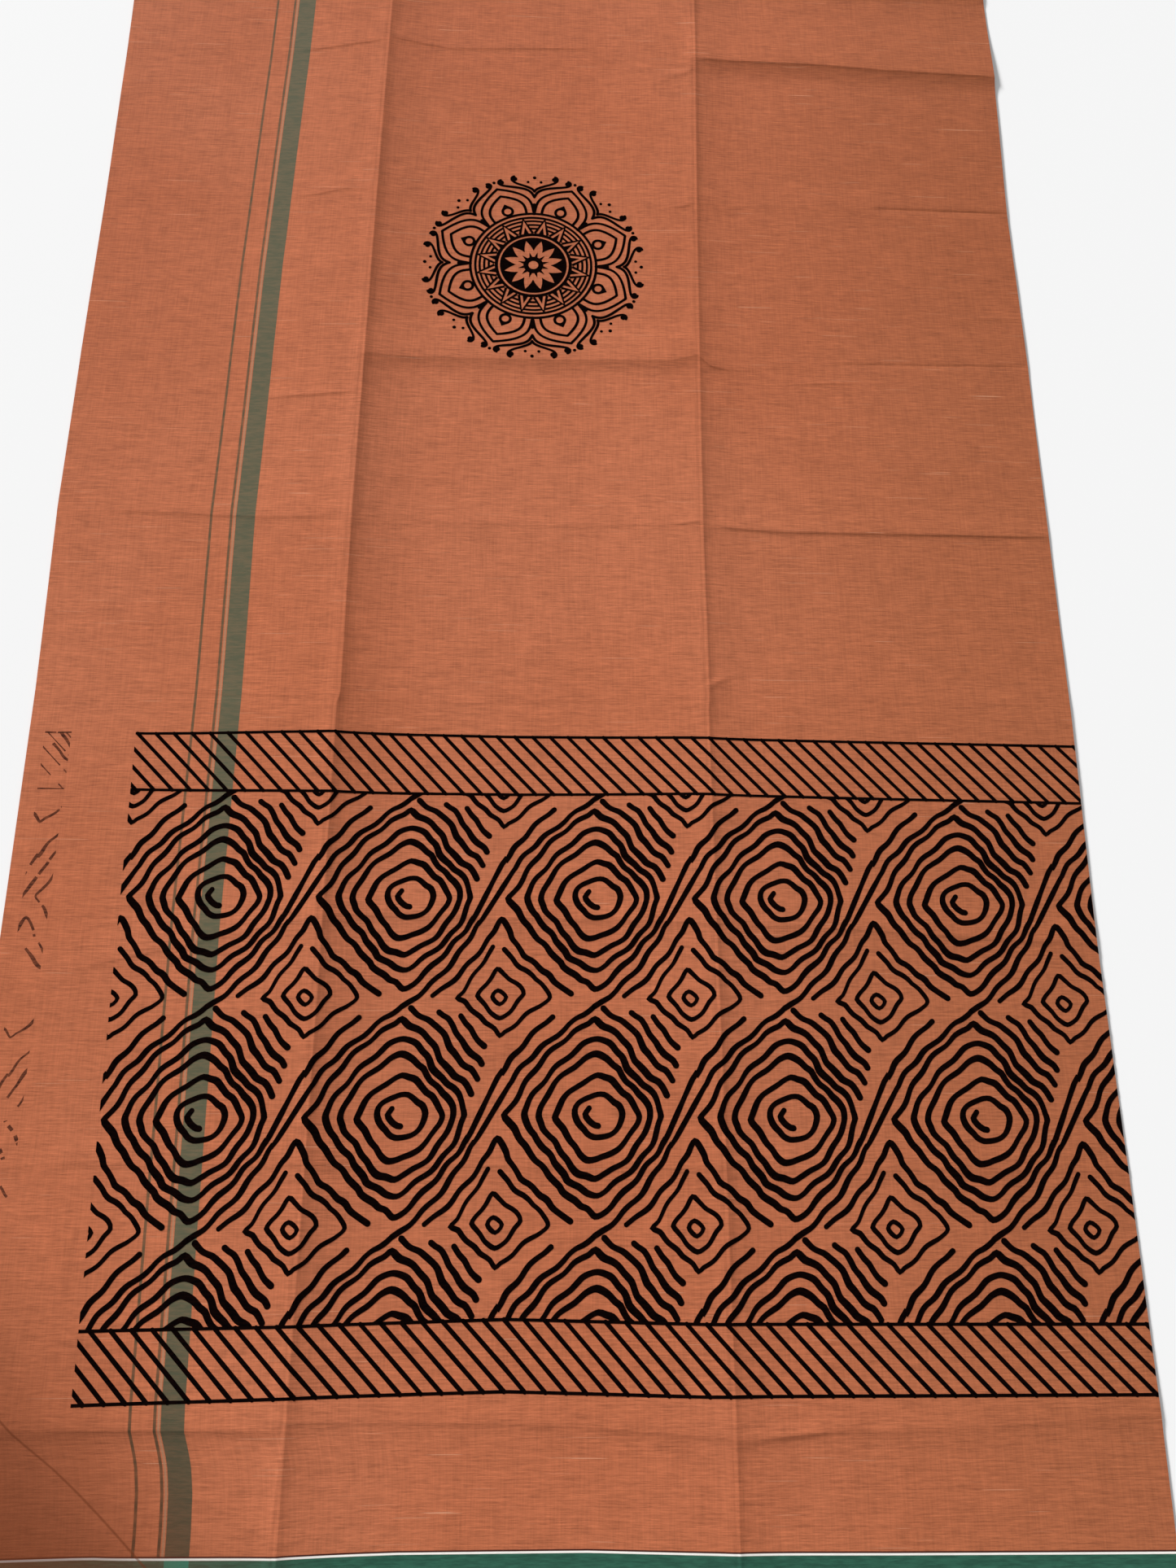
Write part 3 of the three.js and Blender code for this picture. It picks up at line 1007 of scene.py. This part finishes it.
class FlatPrint:
    """Strokes and filled shapes gathered flat in the print's own plane."""

    def __init__(self):
        self.points = []
        self.faces = []
        self.count = 0

    def add(self, points, faces):
        self.points.append(np.asarray(points, float))
        self.faces.extend([tuple(corner + self.count for corner in face) for face in faces])
        self.count += len(points)

    def ribbon(self, path, width, closed=False, uneven=0.0, seed=0.0, round_ends=True, printed=None):
        path = np.asarray(path, float)
        if closed:
            steps = np.roll(path, -1, axis=0) - path
            before = np.roll(steps, 1, axis=0)
        else:
            inner = path[1:] - path[:-1]
            steps = np.concatenate([inner, inner[-1:]])
            before = np.concatenate([inner[:1], inner])
        lengths = np.linalg.norm(steps, axis=1, keepdims=True)
        ahead = steps / lengths
        behind = before / np.linalg.norm(before, axis=1, keepdims=True)
        mean = ahead + behind
        mean /= np.maximum(np.linalg.norm(mean, axis=1, keepdims=True), 1e-6)
        side = np.stack([-mean[:, 1], mean[:, 0]], axis=1)
        mitre = 1 / np.maximum(0.7, np.sum(mean * ahead, axis=1))
        distance = np.concatenate([[0], np.cumsum(lengths[:-1, 0])])
        half = np.asarray(width) / 2 * (1 + uneven * slow_wobble(distance, seed))
        offset = side * (half * mitre)[:, None]
        left, right = path + offset, path - offset
        if round_ends and not closed:
            left, right = self.rounded(path, mean, side, half, left, right)
        total = len(left)
        points = np.empty((2 * total, 2))
        points[0::2], points[1::2] = left, right
        last = total if closed else total - 1
        faces = []
        for k in range(last):
            n = (k + 1) % total
            if printed is None or printed[k]:
                faces.append((2 * k + 1, 2 * n + 1, 2 * n, 2 * k))
        self.add(points, faces)

    @staticmethod
    def rounded(path, mean, side, half, left, right):
        turns = np.radians([8.0, 38.0, 66.0])
        for end, sign in ((0, -1), (-1, 1)):
            reach = (np.cos(turns) * half[end])[:, None] * mean[end] * sign
            spread = (np.sin(turns) * half[end])[:, None] * side[end]
            cap_left, cap_right = path[end] + reach + spread, path[end] + reach - spread
            if end == 0:
                left, right = np.concatenate([cap_left, left]), np.concatenate([cap_right, right])
            else:
                left = np.concatenate([left, cap_left[::-1]])
                right = np.concatenate([right, cap_right[::-1]])
        return left, right

    def filled(self, loops):
        """Fills closed outlines; an outline inside another one is left open, and so on."""
        corners, edges = [], []
        for loop in loops:
            start = len(corners)
            corners.extend(Vector(point) for point in loop)
            edges.extend((start + k, start + (k + 1) % len(loop)) for k in range(len(loop)))
        points, _, faces, _, _, _ = delaunay_2d_cdt(corners, edges, [], 1, 1e-5)
        kept = []
        for face in faces:
            middle = sum((points[k] for k in face), Vector((0, 0))) / len(face)
            inside = sum(point_inside(middle, loop) for loop in loops)
            if inside % 2:
                kept.append(tuple(face))
        self.add([tuple(point) for point in points], kept)


def point_inside(point, loop):
    inside = False
    for (x0, y0), (x1, y1) in zip(loop, [*loop[1:], loop[0]]):
        if (y0 > point.y) != (y1 > point.y):
            if point.x < x0 + (point.y - y0) / (y1 - y0) * (x1 - x0):
                inside = not inside
    return inside


def print_pull(x, y):
    """How far the laid cloth pulls the print along itself, from its four frame lines."""
    levels = sorted(FRAME_LINES)
    drifts = [np.interp(x, FRAME_LINES_X, FRAME_LINES[level]) - level for level in levels]
    pull = np.zeros_like(x)
    below, above = y < levels[0], y > levels[-1]
    pull = np.where(below, drifts[0], pull)
    pull = np.where(above, drifts[-1], pull)
    for k in range(3):
        share = (y - levels[k]) / (levels[k + 1] - levels[k])
        between = (share >= 0) & (share <= 1)
        pull = np.where(between, drifts[k] + share * (drifts[k + 1] - drifts[k]), pull)
    return pull


def cut_flat(bm, place, normal, keep_one_side):
    bmesh.ops.bisect_plane(
        bm,
        geom=[*bm.verts, *bm.edges, *bm.faces],
        dist=1e-5,
        plane_co=(place[0], place[1], 0),
        plane_no=(normal[0], normal[1], 0),
        clear_outer=keep_one_side,
    )


INK_LIFT = 0.16
INK_SUNK = 0.03
# The print gets edges at these distances from each crease across and along the cloth
CROSS_CUTS = (-2.6, -1.2, 0.0, 1.2, 2.6)
CREST_CUTS = (-4.0, -1.5, 0.0, 1.5, 4.0)
# Only faces this near to a stretch of a cross crease are cut: past its ends and beside it
CUT_PAST_ENDS, CUT_BESIDE = 3.0, 12.0
# The crests are nearly straight through the print: its middle along the cloth, and half of it
PRINT_MIDDLE, PRINT_HALF = 515.0, 300.0


def cut_at_cross_creases(bm, pulled):
    """Gives the print an edge along each sharp cross crease, so that it bends with the cloth."""
    for crease in CROSS_CREASES:
        for (x0, row0), (x1, row1) in zip(crease["line"], crease["line"][1:]):
            middle_x, middle_y = (x0 + x1) / 2, (row0 + row1) / 2 - WHITE_LINE_FROM_NEAR
            if pulled:
                middle_y -= float(print_pull(np.array([middle_x]), np.array([middle_y]))[0])
            slope = (row1 - row0) / (x1 - x0)
            near_faces = []
            for face in bm.faces:
                x, y, _ = face.calc_center_median()
                within = x0 - CUT_PAST_ENDS < x < x1 + CUT_PAST_ENDS
                if within and abs(y - middle_y - slope * (x - middle_x)) < CUT_BESIDE:
                    near_faces.append(face)
            if not near_faces:
                continue
            for away in CROSS_CUTS:
                live = [face for face in near_faces if face.is_valid]
                edges = {edge for face in live for edge in face.edges}
                verts = {vert for face in live for vert in face.verts}
                cut = bmesh.ops.bisect_plane(
                    bm,
                    geom=[*verts, *edges, *live],
                    dist=1e-5,
                    plane_co=(middle_x, middle_y + away, 0),
                    plane_no=(-slope, 1, 0),
                )
                near_faces = [item for item in cut["geom"] if isinstance(item, bmesh.types.BMFace)]


def print_piece(name, flat, material, clips, pulled, lift=INK_LIFT, shift=0.0):
    """Cuts a flat print, lays it on the cloth and gives it the ink's small thickness."""
    points = np.concatenate(flat.points)
    mesh = bpy.data.meshes.new(name)
    flat_points = np.column_stack([points, np.zeros(len(points))])
    mesh.from_pydata(flat_points.tolist(), [], flat.faces)
    bm = bmesh.new()
    bm.from_mesh(mesh)
    for place, normal in clips:
        cut_flat(bm, place, normal, True)
    for which in range(len(LENGTH_CREASES)):
        far_x, near_x = (crest_x(which, PRINT_MIDDLE + half) for half in (PRINT_HALF, -PRINT_HALF))
        run = (far_x - near_x) / (2 * PRINT_HALF)
        for away in CREST_CUTS:
            place = (crest_x(which, PRINT_MIDDLE) + away, PRINT_MIDDLE - WHITE_LINE_FROM_NEAR)
            cut_flat(bm, place, (1, -run), False)
    cut_at_cross_creases(bm, pulled)
    bottom = list(bm.verts)
    grown = bmesh.ops.extrude_face_region(bm, geom=bm.faces[:], use_keep_orig=True)["geom"]
    top = [item for item in grown if isinstance(item, bmesh.types.BMVert)]
    for verts, height in ((bottom, -INK_SUNK), (top, lift)):
        lay_on_cloth(verts, height, pulled, shift)
    bmesh.ops.recalc_face_normals(bm, faces=bm.faces[:])
    for face in bm.faces:
        face.smooth = True
    crisp_edges(bm)
    bm.to_mesh(mesh)
    bm.free()
    mesh.materials.append(material)
    piece = new_object(name, mesh)
    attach(piece, "root")
    return piece


ABOVE_CLOTH = 0.1


def cloth_top(x, y):
    """The place on the cloth's face under x and y (m), or None beside the cloth."""
    return cloth_tree.ray_cast(Vector((x, y, ABOVE_CLOTH)), Vector((0, 0, -1)))[0]


def lay_on_cloth(verts, height, pulled, shift):
    flat = np.array([vert.co[:2] for vert in verts])
    x, y = flat[:, 0], flat[:, 1]
    if pulled:
        y = y + print_pull(x, y)
    x = x + shift
    row = y + WHITE_LINE_FROM_NEAR
    second_x = crest_x(1, row)
    to_edge = np.clip((x - second_x) / (HALF_WIDTH - second_x), 0, 1)
    x = x + (right_selvedge(row) - HALF_WIDTH) * to_edge
    frame_y = row - HALF_LENGTH
    for vert, vert_x, vert_y in zip(verts, x * MM, frame_y * MM):
        hit = cloth_top(vert_x, vert_y)
        if hit is None:
            hit = cloth_tree.find_nearest(Vector((vert_x, vert_y, 0.004)))[0]
        vert.co = (vert_x, vert_y, hit.z + height * MM)


def left_cut_clip():
    (top_x, top_y), (bottom_x, bottom_y) = PRINT_LEFT_TOP, PRINT_LEFT_BOTTOM
    slope = (top_x - bottom_x) / (top_y - bottom_y)
    return (bottom_x, bottom_y), (-1.0, slope)


RIGHT_CLIP = ((HALF_WIDTH - 0.2, 0.0), (1.0, 0.0))


def in_panel(path):
    low, high = path.min(axis=0), path.max(axis=0)
    beside = low[0] > HALF_WIDTH or high[0] < PRINT_LEFT_TOP[0]
    return not beside and low[1] < PANEL_TOP and high[1] > PANEL_BOTTOM


def lozenge_field():
    flat = FlatPrint()
    for stroke, (width, closed, path) in enumerate(panel_strokes(STROKE_STEP)):
        widths = nib_width(path, width)
        for column in range(-4, 4):
            for ring_y in RING_ROWS:
                moved = path + (FIRST_RING_X + REPEAT_X * column, ring_y)
                if in_panel(moved):
                    flat.ribbon(moved, widths, closed, uneven=0.13, seed=stroke)
    return flat


def hatch_and_frame():
    flat = FlatPrint()
    line_x = np.arange(FRAME_LINE_START, FRAME_LINE_END, FRAME_LINE_STEP)
    for level in FRAME_LINES:
        line = np.column_stack([line_x, np.full_like(line_x, level)])
        flat.ribbon(line, FRAME_LINE_WIDTH, uneven=0.05, seed=level)
    for top, low, through, width in HATCH_BANDS:
        run = HATCH_RUN * (top - low) / HATCH_FALL
        first = HATCH_START + (through - HATCH_START) % HATCH_PITCH_X
        for k in range(int((HATCH_END - HATCH_START) / HATCH_PITCH_X)):
            steps = np.linspace(0, 1, HATCH_POINTS)[:, None]
            path = np.array([[first + k * HATCH_PITCH_X, top]]) + steps * np.array([[run, low - top]])
            flat.ribbon(path, width, uneven=0.05, seed=k)
    return flat


SET_OFF_SHIFT = -100.0
SET_OFF_LEFT, SET_OFF_RIGHT = -481.5, -452.0
SET_OFF_STEP = 1.4
SET_OFF_TOP, SET_OFF_BOTTOM = 830.0, 225.0
SET_OFF_COLUMNS = (-4, -3, -2)
SET_OFF_HATCH = range(-3, 2)
# Widths of the marks that the frame lines, the hatching and the panel's strokes left, and the
# stroke so thin that it left none
SET_OFF_WIDTHS = dict(frame=1.5, hatch=1.8, panel=3.0)
SET_OFF_LEAST = 4.85
# How much of the marks shows, at these places along the print: all at 1, none at -1
SET_OFF_ALONG = (225, 300, 400, 455, 560, 600, 830)
SET_OFF_COVERAGE = (-0.9, -0.5, -0.4, 0.9, 1.1, 0.6, 0.75)
SET_OFF_FRAME_REACH = 5.0
SET_OFF_FRAME_COVERAGE = 0.9


def set_off_marks():
    """The wet left rim of the print, marked off thin and broken nearer the selvedge."""
    flat = FlatPrint()
    strokes = []
    for level in FAR_BAND:
        line = [(SET_OFF_LEFT, level), (SET_OFF_RIGHT, level)]
        strokes.append((line, SET_OFF_WIDTHS["frame"]))
    top, low, through, _ = HATCH_BANDS[0]
    for k in SET_OFF_HATCH:
        x = through + k * HATCH_PITCH_X
        strokes.append(([(x, top), (x + HATCH_RUN, low)], SET_OFF_WIDTHS["hatch"]))
    for width, closed, stroke in panel_strokes(2 * SET_OFF_STEP):
        if closed or width < SET_OFF_LEAST:
            continue
        for column in SET_OFF_COLUMNS:
            for ring_y in RING_ROWS:
                path = stroke + (FIRST_RING_X + REPEAT_X * column, ring_y)
                if path[:, 0].min() < SET_OFF_RIGHT and path[:, 0].max() > SET_OFF_LEFT:
                    strokes.append((path, SET_OFF_WIDTHS["panel"]))
    for seed, (points, width) in enumerate(strokes):
        path = smooth_path(points, False, SET_OFF_STEP)
        distance = np.arange(len(path)) * SET_OFF_STEP
        y = path[:, 1]
        coverage = np.interp(y, SET_OFF_ALONG, SET_OFF_COVERAGE)
        on_frame = (y <= PANEL_TOP) & (y >= PANEL_TOP - SET_OFF_FRAME_REACH)
        coverage = np.where(on_frame, SET_OFF_FRAME_COVERAGE, coverage)
        blots = slow_wobble(distance * 1.3, seed + 0.5) + 0.3 * np.sin(distance / 1.6 + 3 * seed)
        flat.ribbon(path, width, uneven=0.4, seed=seed, round_ends=False, printed=blots < coverage)
    return flat


# ---------------------------------------------------------------- the rosette
ROSETTE_CENTRE = (-39.0, 1482.0)
DISC_RADIUS = 43.5
HUB_RING_RADIUS = 13.0
HUB_DOT_RADIUS = 6.5
# A wedge points out from the hub into each petal: foot, tip and half width of the foot
HUB_WEDGE = (13.1, 20.5, 1.9)
FLOWER_PETALS = 12
FLOWER_BASE_RADIUS, FLOWER_TIP_RADIUS = 22.8, 39.0
TRIANGLES = 16
TRIANGLE_BASE, TRIANGLE_APEX, TRIANGLE_HALF = 50.0, 74.0, 8.6
TRIANGLE_LINE = 3.5
# The filled point inside each triangle: its tip and half width
HEART_TIP, HEART_HALF = 61.0, 3.4
ARC_RADII = (58.0, 64.0, 70.0)
ARC_LINE = 2.9
RING_RADII = ((48.2, 4.2), (75.5, 3.2), (82.0, 3.5))
LOTUS_PETALS = 8
PETAL_LINE = 3.5
# The two outlines of a lotus petal: radius of its foot, radius of its tip, half width
PETALS = ((81.0, 117.5, 22.5), (79.5, 130.0, 32.0))
PETAL_BULGE = 0.12
CURL_LINE = 3.6
# Curls beside a petal: where they leave the valley, how far outward and sideways they end, and
# how late they sweep over
CURLS = ((109.0, 138.4, 5.3, 1.6), (118.3, 138.0, 24.2, 1.05))
CURL_BALL_RADIUS = 3.6
CURL_HOOK_RADIUS = 4.1
VALLEY_RADII = (82.0, 97.0)
VALLEY_LINE = 4.4
EYE_CENTRE, EYE_RADIUS, EYE_HOLE_RADIUS, EYE_TIP = 91.3, 8.4, 4.7, 103.6
TIP_DOT = (141.3, 2.2)
# Dots between the petals: outward, degrees away from the middle, radius
VALLEY_DOTS = ((134.0, 3.7, 2.0), (134.0, -3.7, 2.0), (141.0, 0.0, 2.4))


def on_circle(radius, degrees):
    angle = math.radians(degrees)
    return radius * math.cos(angle), radius * math.sin(angle)


def circle(radius, centre=(0.0, 0.0), sides=48):
    ring = [on_circle(radius, 360 * k / sides) for k in range(sides)]
    return [(centre[0] + x, centre[1] + y) for x, y in ring]


def turned(points, degrees, mirrored=False):
    """Points given outward and sideways, turned to their direction round the rosette."""
    angle = math.radians(degrees)
    out = []
    for outward, sideways in points:
        if mirrored:
            sideways = -sideways
        x = outward * math.cos(angle) - sideways * math.sin(angle)
        y = outward * math.sin(angle) + sideways * math.cos(angle)
        out.append((x, y))
    return out


def flower_outline():
    """Petals that narrow from foot to tip, one after the other round the disc."""
    half = 180 / FLOWER_PETALS
    outline = []
    for k in range(FLOWER_PETALS):
        for share in (-1, -0.7, -0.45, -0.22, 0, 0.22, 0.45, 0.7):
            out = 1 - abs(share) ** 0.95
            radius = FLOWER_BASE_RADIUS + (FLOWER_TIP_RADIUS - FLOWER_BASE_RADIUS) * out
            outline.append(on_circle(radius, half + 2 * half * k + half * share))
    return outline


def rosette_disc(flat):
    foot, tip, half = HUB_WEDGE
    wedges = []
    for k in range(FLOWER_PETALS):
        middle = (k + 0.5) * 360 / FLOWER_PETALS
        wedges.append(turned(((foot, -half), (tip, 0), (foot, half)), middle))
    loops = [circle(DISC_RADIUS, sides=72), flower_outline(), circle(HUB_RING_RADIUS)]
    flat.filled([*loops, circle(HUB_DOT_RADIUS, sides=24), *wedges])


def rosette_rings(flat):
    for radius, width in RING_RADII:
        flat.ribbon(circle(radius, sides=120), width, closed=True, uneven=0.05, seed=radius)
    step = 360 / TRIANGLES
    for k in range(TRIANGLES):
        middle = step / 2 + step * k
        sides = ((TRIANGLE_BASE, -TRIANGLE_HALF), (TRIANGLE_APEX, 0), (TRIANGLE_BASE, TRIANGLE_HALF))
        flat.ribbon(turned(sides, middle), TRIANGLE_LINE, round_ends=False)
        heart = ((TRIANGLE_BASE, -HEART_HALF), (HEART_TIP, 0), (TRIANGLE_BASE, HEART_HALF))
        flat.filled([turned(heart, middle)])
        for radius in ARC_RADII:
            half = TRIANGLE_HALF * (TRIANGLE_APEX - radius) / (TRIANGLE_APEX - TRIANGLE_BASE)
            gap = math.degrees(math.atan(half / radius))
            turns = np.linspace(middle + gap, middle + step - gap, 6)
            flat.ribbon([on_circle(radius, turn) for turn in turns], ARC_LINE, round_ends=False)


def petal_eye(middle):
    """A teardrop with a round hole: a circle drawn out to a tip."""
    drop = [(EYE_TIP, 0.0)]
    for k in range(25):
        turn = 40 + 280 * k / 24
        x, y = on_circle(EYE_RADIUS, turn)
        drop.append((EYE_CENTRE + x, y))
    return [turned(drop, middle), circle(EYE_HOLE_RADIUS, on_circle(EYE_CENTRE, middle), 20)]


def petal_outline(foot, tip, half_width):
    """Half of a pointed petal: outward along its middle, and sideways from it."""
    share = np.linspace(0, 1, 12)
    sideways = half_width * (1 - share**3) * (1 + PETAL_BULGE * np.sin(np.pi * share))
    return np.stack([foot + (tip - foot) * share, sideways], axis=1)


def curl_line(valley_radius, outward, sideways, late):
    """A line that leaves the valley beside a petal, sweeps over and hooks round its ball."""
    start_out, start_side = on_circle(valley_radius, 180 / LOTUS_PETALS)
    share = np.linspace(0, 1, 12)
    over = smoothstep(share**late, 0, 1)
    out = start_out + (outward - start_out) * share
    swept = np.stack([out, start_side + (sideways - start_side) * over], axis=1)
    ball = (outward, sideways + CURL_HOOK_RADIUS)
    hook = [np.add(ball, on_circle(CURL_HOOK_RADIUS, turn)) for turn in (-60, -25, 10)]
    return np.concatenate([swept, hook]), ball


def rosette_petals(flat):
    step = 360 / LOTUS_PETALS
    for k in range(LOTUS_PETALS):
        middle = step / 2 + step * k
        valley = middle + step / 2
        flat.ribbon([on_circle(radius, valley) for radius in VALLEY_RADII], VALLEY_LINE)
        flat.filled(petal_eye(middle))
        flat.filled([circle(TIP_DOT[1], on_circle(TIP_DOT[0], middle), 12)])
        for radius, away, size in VALLEY_DOTS:
            flat.filled([circle(size, on_circle(radius, valley + away), 12)])
        for mirrored in (False, True):
            for seed, petal in enumerate(PETALS):
                path = smooth_path(turned(petal_outline(*petal), middle, mirrored), False, 2.0)
                flat.ribbon(path, PETAL_LINE, uneven=0.08, seed=seed)
            for seed, curl in enumerate(CURLS):
                points, ball = curl_line(*curl)
                path = smooth_path(turned(points, middle, mirrored), False, 1.6)
                flat.ribbon(path, CURL_LINE, uneven=0.1, seed=seed)
                flat.filled([circle(CURL_BALL_RADIUS, turned([ball], middle, mirrored)[0], 16)])


def rosette():
    flat = FlatPrint()
    rosette_disc(flat)
    rosette_rings(flat)
    rosette_petals(flat)
    flat.points = [points + ROSETTE_CENTRE for points in flat.points]
    return flat


# ---------------------------------------------------------------- sewing
STITCH_PITCH = 2.8
STITCH_LENGTH = 2.3
STITCH_WIDTH = 0.5
STITCH_RISE = 0.25
STITCH_FROM_END = 6.4


def stitch_row(name, row_at, material):
    """A line of lockstitch along a hem, with every stitch a small lens of thread."""
    along = np.array([-0.5, -0.3, 0.0, 0.3, 0.5]) * STITCH_LENGTH
    girth = np.array([0.0, 0.8, 1.0, 0.8, 0.0])
    points, faces = [], []
    starts = np.arange(-HALF_WIDTH + 4, HALF_WIDTH - 4, STITCH_PITCH)
    for k, start in enumerate(starts):
        lean = 0.12 * math.sin(1.7 * k)
        for distance, wide in zip(along, girth):
            x = start + distance
            for side, rise in ((-1, 0.0), (0, 1.0), (1, 0.0), (0, -0.6)):
                y = side * wide * STITCH_WIDTH / 2 + lean * distance
                points.append((x, y, rise * wide * STITCH_RISE))
        base = 20 * k
        for ring in range(4):
            for corner in range(4):
                a = base + 4 * ring + corner
                b = base + 4 * ring + (corner + 1) % 4
                faces.append((a, b, b + 4, a + 4))
    points = np.array(points)
    x = column_x(points[:, 0], np.full(len(points), row_at))
    y = row_at + end_sag(np.full(len(points), row_at), x) + points[:, 1]
    placed = []
    for px, py, rise in zip(x * MM, (y - HALF_LENGTH) * MM, points[:, 2]):
        hit = cloth_top(px, py)
        placed.append((px, py, hit.z + (rise + 0.02) * MM))
    mesh = bpy.data.meshes.new(name)
    mesh.from_pydata(placed, [], faces)
    bm = bmesh.new()
    bm.from_mesh(mesh)
    bmesh.ops.remove_doubles(bm, verts=bm.verts, dist=1e-7)
    bmesh.ops.recalc_face_normals(bm, faces=bm.faces[:])
    bm.to_mesh(mesh)
    bm.free()
    mesh.materials.append(material)
    piece = new_object(name, mesh)
    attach(piece, "root")
    return piece


def thread_material():
    nodes = Nodes("cotton_thread")
    grain = nodes.noise(*frame_coordinates(nodes), 2500, 900, detail=1.0)
    colour = nodes.mix(nodes.fade(grain, 0.3, 0.7), TERRACOTTA_BROWN, SLUB_PALE)
    nodes.put(nodes.surface.inputs["Base Color"], colour)
    nodes.surface.inputs["Roughness"].default_value = 0.7
    return nodes.material


# ---------------------------------------------------------------- building the cloth
add_camera()
add_floor()
add_light()


def cloth_underside(x, y, row):
    return underside_height(x, y) + hem_lift(row)


def hem_underside(x, y, _):
    return underside_height(x, y)


cloth = shell("lungi_cloth", rows, columns, cloth_underside, CLOTH_THICKNESS)
cotton = cloth_material()
cloth.data.materials.append(cotton)
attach(cloth, "root")
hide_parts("cloth")

HEM_EDGE_ROWS = np.array([0.0, 1.5, 4.0, 6.5, HEM_DEPTH])
for hem_name, hem_rows_here, hem_node, hem_slot in (
    ("lungi_hem_near", HEM_EDGE_ROWS, "hem_near", "end_band"),
    ("lungi_hem_far", LENGTH - HEM_EDGE_ROWS[::-1], "hem_far", "woven_cotton"),
):
    hem = shell(hem_name, hem_rows_here, columns, hem_underside, HEM_THICKNESS)
    hem.data.materials.append(cotton)
    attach(hem, "root")
    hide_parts(hem_node)

cloth_tree = BVHTree.FromPolygons(
    [vert.co for vert in cloth.data.vertices], [tuple(face.vertices) for face in cloth.data.polygons]
)
ink = ink_material("black_print_ink", INK_BLACK, worn=0.008)
set_off = ink_material("set_off_ink", INK_SET_OFF, worn=0.3)
set_off_clips = [((SET_OFF_LEFT, 0), (-1, 0)), ((SET_OFF_RIGHT, 0), (1, 0))]
set_off_clips += [((0, SET_OFF_BOTTOM), (0, -1)), ((0, SET_OFF_TOP), (0, 1))]
field_clips = [left_cut_clip(), RIGHT_CLIP, ((0, PANEL_TOP), (0, 1)), ((0, PANEL_BOTTOM), (0, -1))]
frame_clips = [left_cut_clip(), RIGHT_CLIP]
prints = [
    print_piece("print_lozenges", lozenge_field(), ink, field_clips, True),
    print_piece("print_hatch", hatch_and_frame(), ink, frame_clips, True, INK_LIFT + 0.02),
    print_piece("print_rosette", rosette(), ink, [], False),
    print_piece("print_set_off", set_off_marks(), set_off, set_off_clips, True, 0.05, SET_OFF_SHIFT),
]
thread = thread_material()
stitching = [
    stitch_row("stitching_near", STITCH_FROM_END, thread),
    stitch_row("stitching_far", LENGTH - STITCH_FROM_END, thread),
]
